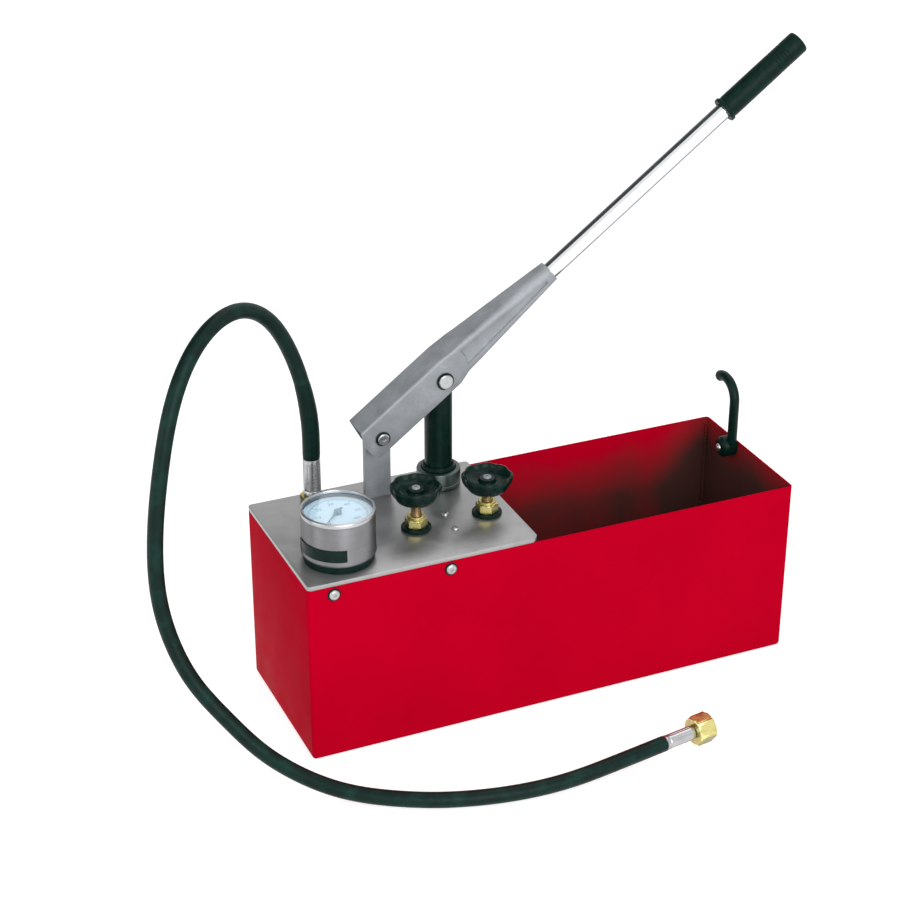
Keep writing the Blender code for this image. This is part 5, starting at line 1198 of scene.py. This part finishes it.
class TESTPUMP_OT_plunger(bpy.types.Operator):
    """Gland nut, wiper, plunger and its eye"""
    bl_idname = "testpump.plunger"
    bl_label = "Plunger"

    def execute(self, context):
        place = (middle("gland_nut").x, PUMP_Y, 0)
        low, high = ends("gland_nut")
        radius = half_width("gland_nut")
        seat = ends("valve_washer_left")[0]
        profile = [(GLAND_LIP, high - 0.006), (GLAND_LIP, high - 0.0005), (GLAND_LIP + 0.0005, high),
                   (radius - 0.0016, high), (radius - 0.0005, high - 0.0005), (radius, high - 0.0016),
                   (radius, seat + 0.0062), (radius - 0.0006, seat + 0.0056),
                   (radius - 0.0006, seat + 0.0048), (radius, seat + 0.0042), (radius, seat + 0.0014),
                   (radius - 0.0012, seat), (0.0187, seat), (0.0187, low), (GLAND_BORE, low),
                   (GLAND_BORE, high - 0.006)]
        add_turned("gland_collar", profile, "dark_steel", "pump_body", "gland_nut", place, steps=128)
        self.make_wiper(place)
        self.make_tube(place)
        eye = refined("piston_eye", context.scene.pump_sizes.edge * 1.5)
        add_piece("plunger_eye", eye, "black_coating", "piston", "piston_eye")
        return {"FINISHED"}

    def make_wiper(self, place):
        """Lip ring that wipes the plunger."""
        low, high = ends("rod_wiper")
        profile = [(0.0141, high - 0.0004), (0.0145, high), (0.0152, high), (0.0160, high - 0.0012),
                   (0.0167, high - 0.0028), (0.0168, high - 0.0040), (0.0168, low), (0.0140, low)]
        add_turned("plunger_wiper", profile, "black_rubber", "pump_body", "rod_wiper", place)

    def make_tube(self, place):
        """The plunger, with a groove below its eye."""
        low, high = ends("piston_tube")
        radius = half_width("piston_tube")
        bore = radius - 0.0040
        profile = [(bore, low), (radius - 0.0012, low), (radius, low + 0.0012), (radius, high - 0.0040),
                   (radius - 0.0003, high - 0.0036), (radius - 0.0003, high - 0.0028),
                   (radius, high - 0.0024), (radius, high - 0.0010), (radius - 0.0010, high),
                   (bore, high)]
        add_turned("plunger_tube", profile, "black_coating", "piston", "piston_tube", place)


class TESTPUMP_OT_lever(bpy.types.Operator):
    """Rocking link, folded lever, tube, grip, pins and clips"""
    bl_idname = "testpump.lever"
    bl_label = "Lever"

    def execute(self, context):
        sizes = context.scene.pump_sizes
        self.make_link(sizes)
        add_piece("folded_lever", self.folded_sheet(sizes), "dull_zinc", "lever", "lever_channel")
        (inner, outer), (start, end) = TUBE_RADII, TUBE_ENDS
        add_turned("chromed_tube", [(inner, start), (outer, start), (outer, end), (inner, end)],
                   "chrome_plating", "lever", "lever_tube", FULCRUM, LEVER_WAY)
        self.make_grip()
        self.make_pin("fulcrum", "fulcrum", radius=0.0048)
        self.make_pin("plunger", "piston", radius=0.0055)
        return {"FINISHED"}

    def make_link(self, sizes):
        """Flat bar with a round boss on each side of both its holes."""
        low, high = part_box("rocking_link")
        foot = low.z + half_width("rocking_link")
        head = high.z - half_width("rocking_link")
        outline = arc((0, head), LINK_RADIUS, 0, 180, 32) + arc((0, foot), LINK_RADIUS, 180, 360, 32)
        bm = cut_sheet([outline], -LINK_THICKNESS / 2, LINK_THICKNESS / 2, sizes.sheet_edge)
        rotated(bm, math.pi / 2, "X")
        x = middle("rocking_link").x
        bmesh.ops.translate(bm, vec=(x, PUMP_Y, 0), verts=bm.verts)
        half = (high.y - low.y) / 2
        for height in (foot, head):
            boss = lathe([(0.0052, -half), (0.0094, -half), (0.0100, -half + 0.0006),
                          (0.0100, half - 0.0006), (0.0094, half), (0.0052, half)], ring=True, steps=64)
            gathered(bm, put(boss, (x, PUMP_Y, height), (0, 1, 0)))
        add_piece("link_bar", bm, "dull_zinc", "link", "rocking_link")

    def section(self, along):
        """Top, low edge, half width and fold radius of the sheet at a distance from the fulcrum."""
        for (start, *first), (stop, *second) in zip(LEVER_SECTIONS, LEVER_SECTIONS[1:]):
            if along <= stop:
                share = max(0.0, (along - start) / (stop - start))
                return [a + (b - a) * share for a, b in zip(first, second)]
        return list(LEVER_SECTIONS[-1][1:])

    def row(self, station, kind, depth):
        """One row of points over the sheet. Kind says if the row lies on the panel's start edge."""
        centre, low_round = TOE_CENTRE
        top, low, half, fold = self.section(station)
        if station < centre:
            low = low_round - math.sqrt(max(0.0, TOE_RADIUS ** 2 - (centre - station) ** 2))
        share = min(1.0, max(0.0, (station - PANEL_START) / (PANEL_END - PANEL_START)))
        panel_low = max(low + 2 * PANEL_EDGE, PANEL_LOW[0] + (PANEL_LOW[1] - PANEL_LOW[0]) * share)
        panel_top = min(top - fold - 0.0008, PANEL_TOP[0] + (PANEL_TOP[1] - PANEL_TOP[0]) * share)
        flank = [(low, 0), (panel_low - PANEL_EDGE, 0), (panel_low + PANEL_EDGE, 1),
                 ((panel_low + panel_top) / 2, 1), (panel_top - PANEL_EDGE, 1),
                 (panel_top + PANEL_EDGE, 0)]
        bend = [(top - fold + fold * math.sin(turn), half - fold + fold * math.cos(turn))
                for turn in (math.radians(90 * i / 8) for i in range(9))]
        sunk = depth if PANEL_START < station < PANEL_END and kind != "before" else 0.0
        points = [(half - sunk * inner, across) for across, inner in flank]
        points += [(side, across) for across, side in bend]
        near, far = ([Vector((self.slid(station, across, kind, leans), way * side, across))
                      for side, across in points] for way, leans in zip((-1, 1), TOE_LEANS))
        return near + far[::-1]

    def slid(self, station, across, kind, leans):
        """Distance along the lever, where the toe leans back and the panel starts on a curve."""
        if kind:
            over = min(PANEL_REACH[1], max(PANEL_REACH[0], across)) - PANEL_CURVE[1]
            edge = PANEL_CURVE[0] + math.sqrt(PANEL_CURVE[2] ** 2 - over ** 2)
            return edge + (PANEL_START_EDGE if kind == "after" else -PANEL_START_EDGE)
        low, back, lean = leans
        back += min(1.0, max(0.0, (across - low) / (LEVER_SECTIONS[0][1] - low))) * lean
        share = (TOE_FREE - station) / (TOE_FREE - LEVER_SECTIONS[0][0])
        return station + back * min(1.0, max(0.0, share))

    def folded_sheet(self, sizes):
        """The lever's sheet: a grid laid on its rows, thickened and set along the lever."""
        start = LEVER_SECTIONS[0][0]
        toe = [start + TOE_LENGTH * share for share in (0.0, 0.04, 0.12, 0.26, 0.45, 0.7, 1.0)]
        stations = [(along, "") for along in (*toe, TOE_FREE, 0.05, 0.08, 0.092, 0.098, 0.104)]
        stations += [(0.1085, "before"), (0.1095, "after")]
        stations += [(along, "") for along in (0.1215, 0.135, 0.15, 0.165, 0.18, 0.195, 0.207,
                                               PANEL_END - PANEL_EDGE, PANEL_END + PANEL_EDGE,
                                               0.2215, 0.227)]
        rows = [self.row(along, kind, sizes.panel_depth) for along, kind in stations]
        bm = bmesh.new()
        bmesh.ops.create_grid(bm, x_segments=len(rows) - 1, y_segments=len(rows[0]) - 1, size=1.0)
        along, across = (sorted({round(vert.co[axis], 4) for vert in bm.verts}) for axis in (0, 1))
        for vert in bm.verts:
            vert.co = rows[along.index(round(vert.co.x, 4))][across.index(round(vert.co.y, 4))]
        bmesh.ops.recalc_face_normals(bm, faces=bm.faces)
        web = max(bm.faces, key=lambda face: face.calc_center_median().z)
        if web.normal.z < 0:
            bmesh.ops.reverse_faces(bm, faces=bm.faces)
        bmesh.ops.solidify(bm, geom=bm.faces[:], thickness=LEVER_SHEET)
        soften(bm, sizes.sheet_edge, 2, math.radians(62))
        bmesh.ops.transform(bm, matrix=LEVER_FRAME, verts=bm.verts)
        return bm

    def make_grip(self):
        """Grip with a flat end, five grooves and a collar."""
        start, end = GRIP_ENDS
        reach = GRIP_RADIUS
        hole = TUBE_ENDS[1] + 0.0002
        profile = [(0.0, end), (0.0098, end), (0.0108, end - 0.0004), (0.0114, end - 0.0014),
                   (reach, end - 0.0030)]
        for groove in range(GRIP_GROOVES):
            at = end - 0.018 - groove * GRIP_GROOVE_STEP
            profile += [(reach, at + 0.0008), (reach - 0.0004, at + 0.0002),
                        (reach - 0.0004, at - 0.0002), (reach, at - 0.0008)]
        profile += [(0.0116, start + 0.0075), (0.0114, start + 0.0060), (0.0114, start + 0.0048),
                    (0.0128, start + 0.0038), (0.0130, start + 0.0030), (0.0130, start + 0.0008),
                    (0.0124, start), (0.0086, start), (0.0086, hole), (0.0, hole)]
        add_turned("rubber_grip", profile, "black_rubber", "lever", "lever_grip", FULCRUM, LEVER_WAY,
                   ring=False)

    def make_pin(self, name, node, radius):
        """A headed pin and the clip that keeps it in the lever."""
        low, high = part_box(f"{node}_pin")
        clip_low, clip_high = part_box(f"{node}_clip")
        x, z = (low.x + high.x) / 2, (low.z + high.z) / 2
        length = high.y - low.y
        head = length - PIN_HEAD
        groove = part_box("fulcrum_clip")[0].y - low.y - 0.0001
        rim = (clip_high.x - x) - 0.0015
        profile = [(0.0, 0.0004), (radius * 0.25, 0.0004), (radius * 0.32, 0.0), (rim - 0.0009, 0.0),
                   (rim, 0.0007), (rim, groove), (radius - 0.0006, groove),
                   (radius - 0.0006, groove + 0.0014), (radius, groove + 0.0014), (radius, head),
                   (0.0070, head), (0.0075, head + 0.0005), (0.0075, length - 0.0008),
                   (0.0068, length), (0.0, length)]
        add_turned(f"{name}_cross_pin", profile, "bright_steel", "lever", f"{node}_pin",
                   (x, low.y, z), (0, 1, 0), ring=False, steps=64)
        outer = half_width(f"{node}_clip")
        outline = arc((0, 0), outer, 24, 336, 64) + arc((0, 0), radius - 0.0002, 330, 30, 48)
        clip = rotated(cut_sheet([outline], 0.0, clip_high.y - clip_low.y, 0.0002), math.radians(-70))
        put(clip, (x, clip_high.y, z), (0, -1, 0))
        add_piece(f"{name}_retaining_clip", clip, "black_coating", "lever", f"{node}_clip")


class TESTPUMP_OT_gauge(bpy.types.Operator):
    """Pressure gauge with its dial and pointer"""
    bl_idname = "testpump.gauge"
    bl_label = "Gauge"

    def execute(self, context):
        centre = middle("gauge_housing")
        self.place = (centre.x, centre.y, 0)
        self.radius = half_width("gauge_housing")
        self.make_case()
        self.make_dial(context.scene.pump_sizes)
        self.make_pointer()
        self.make_label()
        return {"FINISHED"}

    def turned(self, name, profile, look, node, ring=True):
        """Adds a round piece of the gauge."""
        add_turned(name, profile, look, "pump_body", node, self.place, ring=ring, steps=128)

    def make_case(self):
        """Seal, case, ring and glass, from the plate up."""
        radius = self.radius
        low, high = ends("gauge_gasket")
        base = half_width("gauge_gasket")
        self.turned("gauge_seal", [(CASE_BORE, low), (base - 0.0008, low), (base, low + 0.0008),
                                   (base, high - 0.0012), (base - 0.0010, high), (CASE_BORE, high)],
                    "black_rubber", "gauge_gasket")
        low, high = ends("gauge_housing")
        wall = radius - 0.0004
        self.turned("gauge_case", [(CASE_BORE, low), (radius - 0.0022, low),
                                   (radius - 0.0007, low + 0.0004), (radius, low + 0.0016),
                                   (radius, low + 0.0030), (wall, low + 0.0040),
                                   (wall, high - 0.0022), (radius - 0.0008, high - 0.0014),
                                   (radius - 0.0008, high), (radius - 0.0016, high),
                                   (radius - 0.0016, low + 0.0020), (CASE_BORE, low + 0.0020)],
                    "brushed_steel", "gauge_housing")
        low, high = ends("gauge_bezel")
        self.turned("gauge_ring", [(radius - 0.0024, high), (radius - 0.0012, high - 0.0001),
                                   (radius - 0.0004, high - 0.0006), (radius, high - 0.0014),
                                   (radius, low + 0.0004), (radius - 0.0004, low), (RING_BORE, low),
                                   (RING_BORE, high - 0.0015), (0.0323, high - 0.0015),
                                   (0.0322, high - 0.0009), (0.0324, high - 0.0002)],
                    "bright_steel", "gauge_bezel")
        low, high = ends("gauge_glass")
        reach = half_width("gauge_glass")
        self.turned("gauge_window", [(0.0, low), (reach - 0.0002, low), (reach, low + 0.0002),
                                     (reach, high - 0.0002), (reach - 0.0002, high), (0.0, high)],
                    "window_glass", "gauge_glass", False)

    def make_dial(self, sizes):
        """Scale plate with its marks and plain numbers."""
        low, high = ends("gauge_dial")
        reach = half_width("gauge_dial")
        self.turned("scale_plate", [(0.0018, low), (reach - 0.0002, low), (reach, low + 0.0002),
                                    (reach, high - 0.0002), (reach - 0.0002, high), (0.0018, high)],
                    "dial_enamel", "gauge_dial")
        marks = bmesh.new()
        fine = 10 * sizes.bar_steps
        outer = reach - DIAL_MARGIN
        under, over = high - MARK_LOW, high + MARK_HIGH
        for step in range(fine + 1):
            turn = math.radians(DIAL_START - DIAL_SWEEP * step / fine)
            main = step % 10 == 0
            long = 0.0038 if main else (0.0030 if step % 5 == 0 else 0.0018)
            width = sizes.mark_width if main else sizes.mark_width * 0.5
            tick = block((outer - long, -width / 2, under), (outer, width / 2, over))
            gathered(marks, rotated(tick, turn))
            if main:
                figure = self.figure(str(step), FIGURE_SIZE)
                spot = Vector((math.cos(turn), math.sin(turn), 0)) * (outer - FIGURE_INSET)
                bmesh.ops.translate(figure, vec=spot + Vector((0, 0, high)), verts=figure.verts)
                gathered(marks, figure)
        end = DIAL_START - DIAL_SWEEP
        line = (arc((0, 0), outer, end, DIAL_START, 120)
                + arc((0, 0), outer - DIAL_LINE, DIAL_START, end, 120))
        gathered(marks, cut_sheet([line], under, over, 0.0))
        add_piece("dial_marks", put(marks, self.place), "dial_ink", "pump_body")

    def figure(self, words, size):
        """A number as a thin solid, centred on the origin."""
        curve = bpy.data.curves.new("figure", "FONT")
        curve.body = words
        curve.size = size
        curve.align_x = "CENTER"
        curve.align_y = "CENTER"
        curve.extrude = 0.00006
        curve.resolution_u = 6
        holder = bpy.data.objects.new("figure", curve)
        mesh = bpy.data.meshes.new_from_object(holder)
        bm = bmesh.new()
        bm.from_mesh(mesh)
        bmesh.ops.remove_doubles(bm, verts=bm.verts, dist=WELD)
        bpy.data.objects.remove(holder)
        bpy.data.curves.remove(curve)
        bpy.data.meshes.remove(mesh)
        return bm

    def make_pointer(self):
        """Hub and needle, which stands at zero."""
        low, high = ends("gauge_pointer")
        hub = lathe([(0.0, low), (0.0015, low), (0.0015, high - 0.003), (0.0035, high - 0.003),
                     (0.0035, high - 0.0006), (0.0030, high), (0.0, high)], steps=SMALL_STEPS)
        outline = [(-0.0080, -0.0013), (0.0010, -0.0010), (0.0200, -0.0004), (0.0220, -0.0001),
                   (0.0220, 0.0001), (0.0200, 0.0004), (0.0010, 0.0010), (-0.0080, 0.0013)]
        needle = cut_sheet([outline], high - 0.0019, high - 0.0011, 0.0001)
        rotated(needle, math.radians(DIAL_START))
        add_piece("gauge_hand", put(gathered(hub, needle), self.place), "dial_ink", "pointer",
                  "gauge_pointer")

    def make_label(self):
        """Blank strip round the front of the case."""
        low, high = ends("gauge_label")
        inner = self.radius + 0.0001
        outer = self.radius + 0.0007
        bm = bmesh.new()
        corners = [bm.verts.new(corner) for corner in
                   ((inner, 0, low), (outer, 0, low), (outer, 0, high), (inner, 0, high))]
        first = bm.faces.new(corners)
        rotated(bm, LABEL_START)
        spun = bmesh.ops.spin(bm, geom=[first], cent=(0, 0, 0), axis=(0, 0, 1), angle=LABEL_TURN,
                              steps=40)
        if not spun["geom_last"]:
            raise RuntimeError("the gauge strip wasn't swept")
        bmesh.ops.recalc_face_normals(bm, faces=bm.faces)
        soften(bm, 0.00012, 1)
        add_piece("gauge_strip", put(bm, self.place), "moulded_black", "pump_body", "gauge_label")


class TESTPUMP_OT_valves(bpy.types.Operator):
    """Shut-off and release valves with their knobs"""
    bl_idname = "testpump.valves"
    bl_label = "Valves"

    def execute(self, context):
        sizes = context.scene.pump_sizes
        for side in VALVE_SIDES:
            place = middle(f"valve_bonnet_{side}")
            self.place = (place.x, place.y, 0)
            self.make_body(side)
            self.make_knob(side, sizes)
        return {"FINISHED"}

    def make_body(self, side):
        """Washer, hexagon body and threaded spindle of one valve."""
        low, high = ends(f"valve_washer_{side}")
        profile = [(0.0083, low), (0.0138, low), (0.0145, low + 0.0007), (0.0145, high - 0.0009),
                   (0.0136, high), (0.0083, high)]
        add_turned(f"washer_{side}", profile, "black_rubber", "pump_body", f"valve_washer_{side}",
                   self.place)
        foot = high + 0.0003
        low, high = ends(f"valve_bonnet_{side}")
        top = high - 0.0030
        profile = [(0.0053, low), (0.0080, low), (0.0080, foot)]
        profile += [(BONNET_FLATS / math.sqrt(3), height)
                    for height in levels(foot, top, BONNET_CHAMFER)]
        profile += [(0.0088, top), (0.0080, top + 0.0006), (0.0085, top + 0.0010),
                    (0.0085, high - 0.0005), (0.0080, high), (0.0058, high), (0.0053, high - 0.0005)]
        bonnet = lathe(profile, ring=True)
        to_hexagon(bonnet, BONNET_FLATS, foot, top, BONNET_CHAMFER)
        add_piece(f"bonnet_{side}", put(bonnet, self.place), "turned_brass", "pump_body",
                  f"valve_bonnet_{side}")
        tip, end = ends(f"valve_spindle_{side}")
        radius = SPINDLE_RADIUS
        profile = [(0.0, tip), (0.0025, tip), (radius, tip + 0.0025), (radius, high - 0.0060)]
        profile += threaded(radius, high - 0.0050, end - 0.0115, 0.0013, 0.0004)
        profile += [(radius, end - 0.0108), (radius, end - 0.0004), (0.0046, end), (0.0, end)]
        add_turned(f"spindle_{side}", profile, "worn_brass", f"{side}_spindle",
                   f"valve_spindle_{side}", self.place, ring=False, steps=64)

    def make_knob(self, side, sizes):
        """Dished knob with finger hollows round its rim, and its screw."""
        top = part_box(f"valve_knob_{side}")[1].z
        knob = lathe([(radius, top + drop) for radius, drop in KNOB_PROFILE], ring=True, steps=144)
        for vert in knob.verts:
            radius = math.hypot(vert.co.x, vert.co.y)
            share = min(1.0, max(0.0, (radius - LOBES_FROM) / LOBES_REACH))
            if share:
                angle = math.atan2(vert.co.y, vert.co.x)
                wave = (0.5 + 0.5 * math.cos(sizes.lobes * angle)) ** LOBE_SHARPNESS
                hollow = sizes.lobe_depth * wave * share
                vert.co.x *= 1 - hollow / radius
                vert.co.y *= 1 - hollow / radius
        add_piece(f"knob_{side}", put(knob, self.place), "moulded_black", f"{side}_knob",
                  f"valve_knob_{side}")
        low, high = ends(f"knob_screw_{side}")
        seat = high - 0.0018
        screw = button_screw(0.0042, high - seat, 0.0019, seat - low, 0.0014)
        put(screw, (self.place[0], self.place[1], seat))
        add_piece(f"handwheel_screw_{side}", screw, "dull_zinc", f"{side}_knob", f"knob_screw_{side}")


class TESTPUMP_OT_hook(bpy.types.Operator):
    """Carrying hook on its pin"""
    bl_idname = "testpump.hook"
    bl_label = "Hook"

    def execute(self, context):
        pin = middle("hook_pin")
        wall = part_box("tank")[1].x - TROUGH_SHEET
        x = wall - HOOK_GAP
        y = pin.y - HOOK_OFFSET
        stem_top = pin.z + HOOK_STEM
        bend = arc((y + HOOK_BEND, stem_top), HOOK_BEND, 180, 55, 36)
        points = [Vector((x, y, pin.z - 0.0010 + (stem_top - pin.z) * i / 12)) for i in range(12)]
        points += [Vector((x, side, height)) for side, height in bend]
        radii = [HOOK_RADIUS] * (len(points) - 12) + [HOOK_RADIUS + HOOK_SWELL * i for i in range(12)]
        radii[-1] = HOOK_RADIUS
        bar = tube_along(points, radii, 28)
        boss = lathe([(0.0034, 0.0), (0.0110, 0.0), (0.0110, 0.0116), (0.0106, 0.0130), (0.0086, 0.0150),
                      (0.0070, 0.0158), (0.0062, 0.0160), (0.0034, 0.0160)], ring=True, steps=72)
        seat = (wall - 0.0003, pin.y, pin.z)
        gathered(bar, put(boss, seat, (-1, 0, 0)))
        add_piece("hook_bar", bar, "black_coating", "carrying_hook", "hook")
        outer = TROUGH_SHEET + 0.0006
        profile = [(0.0, -outer - 0.0015), (0.0036, -outer - 0.0015), (0.0051, -outer - 0.0009),
                   (0.0055, -outer), (0.0030, -outer), (0.0030, 0.0163), (0.0042, 0.0163),
                   (0.0040, 0.0172), (0.0030, 0.0183), (0.0016, 0.0189), (0.0, 0.0189)]
        add_turned("hook_rivet", profile, "bright_steel", "pump_body", "hook_pin", seat, (-1, 0, 0),
                   ring=False, steps=SMALL_STEPS)
        return {"FINISHED"}


class TESTPUMP_OT_works(bpy.types.Operator):
    """Block, cylinder, valves and pipes under the plate, and the finishes of all that stays"""
    bl_idname = "testpump.works"
    bl_label = "Works under the plate"

    def execute(self, context):
        edge = context.scene.pump_sizes.edge
        for node, name, look in (("pump_block", "valve_block", "cast_aluminium"),
                                 ("link_bracket", "bracket", "zinc_plating"),
                                 ("pump_cylinder", "barrel", "turned_brass"),
                                 ("foot_valve", "suction_valve", "turned_brass"),
                                 ("suction_strainer", "strainer", "turned_brass"),
                                 ("return_pipe", "release_pipe", "turned_brass"),
                                 ("discharge_plug", "block_plug", "turned_brass")):
            add_piece(name, refined(node, edge), look, "pump_body", node)
        self.make_spring()
        slots = {slot: look for look, (_, slot) in reversed(FINISH_MAKERS.items())}
        for name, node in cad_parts.items():
            if node.hide_render:
                continue
            for material_slot in node.material_slots:
                base = material_slot.material.name.split(".")[0] if material_slot.material else ""
                if base not in slots:
                    raise RuntimeError(f"{name} has no finish for {base}")
                material_slot.material = finish(slots[base])
        return {"FINISHED"}

    def make_spring(self):
        """The discharge valve's spring, wound round the ball's axis."""
        low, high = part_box("discharge_spring")
        ball_low, ball_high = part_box("discharge_ball")
        middle_x, middle_y = (ball_low.x + ball_high.x) / 2, (ball_low.y + ball_high.y) / 2
        coil = middle_x - low.x - VALVE_WIRE
        steps = VALVE_TURNS * 24
        rise = high.z - low.z - 2 * VALVE_WIRE
        bm = bmesh.new()
        bmesh.ops.create_circle(bm, cap_ends=True, segments=12, radius=VALVE_WIRE)
        rotated(bm, math.pi / 2, "X")
        bmesh.ops.translate(bm, vec=(coil, 0, low.z + VALVE_WIRE), verts=bm.verts)
        bmesh.ops.spin(bm, geom=bm.verts[:] + bm.edges[:] + bm.faces[:], cent=(0, 0, 0),
                       axis=(0, 0, 1), dvec=(0, 0, rise / steps), angle=2 * math.pi * VALVE_TURNS,
                       steps=steps)
        bmesh.ops.recalc_face_normals(bm, faces=bm.faces)
        spring = add_piece("valve_spring", put(bm, (middle_x, middle_y, 0)), "bright_steel", "pump_body",
                           "discharge_spring")
        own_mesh(spring)


class TESTPUMP_PT_panel(bpy.types.Panel):
    """Lists the pump's steps and settings"""
    bl_idname = "TESTPUMP_PT_panel"
    bl_label = "Test pump"
    bl_space_type = "VIEW_3D"
    bl_region_type = "UI"
    bl_category = "Test pump"

    def draw(self, context):
        for operator in STEPS:
            self.layout.operator(operator.bl_idname)
        for group in (context.scene.pump_colours, context.scene.pump_sizes, context.scene.pump_stage):
            box = self.layout.box()
            for name in group.__annotations__:
                box.prop(group, name)


STEPS = (TESTPUMP_OT_stage, TESTPUMP_OT_hose, TESTPUMP_OT_trough, TESTPUMP_OT_head_plate,
         TESTPUMP_OT_plunger, TESTPUMP_OT_lever, TESTPUMP_OT_gauge, TESTPUMP_OT_valves,
         TESTPUMP_OT_hook, TESTPUMP_OT_works)
GROUPS = (("pump_colours", PumpColours), ("pump_sizes", PumpSizes), ("pump_stage", PumpStage))


def register():
    for name, group in GROUPS:
        bpy.utils.register_class(group)
        setattr(bpy.types.Scene, name, PointerProperty(type=group))
    for kind in (*STEPS, TESTPUMP_PT_panel):
        bpy.utils.register_class(kind)


def unregister():
    for kind in (TESTPUMP_PT_panel, *reversed(STEPS)):
        bpy.utils.unregister_class(kind)
    for name, group in reversed(GROUPS):
        delattr(bpy.types.Scene, name)
        bpy.utils.unregister_class(group)


def main():
    register()
    for step in STEPS:
        area, action = step.bl_idname.split(".")
        getattr(getattr(bpy.ops, area), action)()
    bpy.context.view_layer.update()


if __name__ == "__main__":
    main()
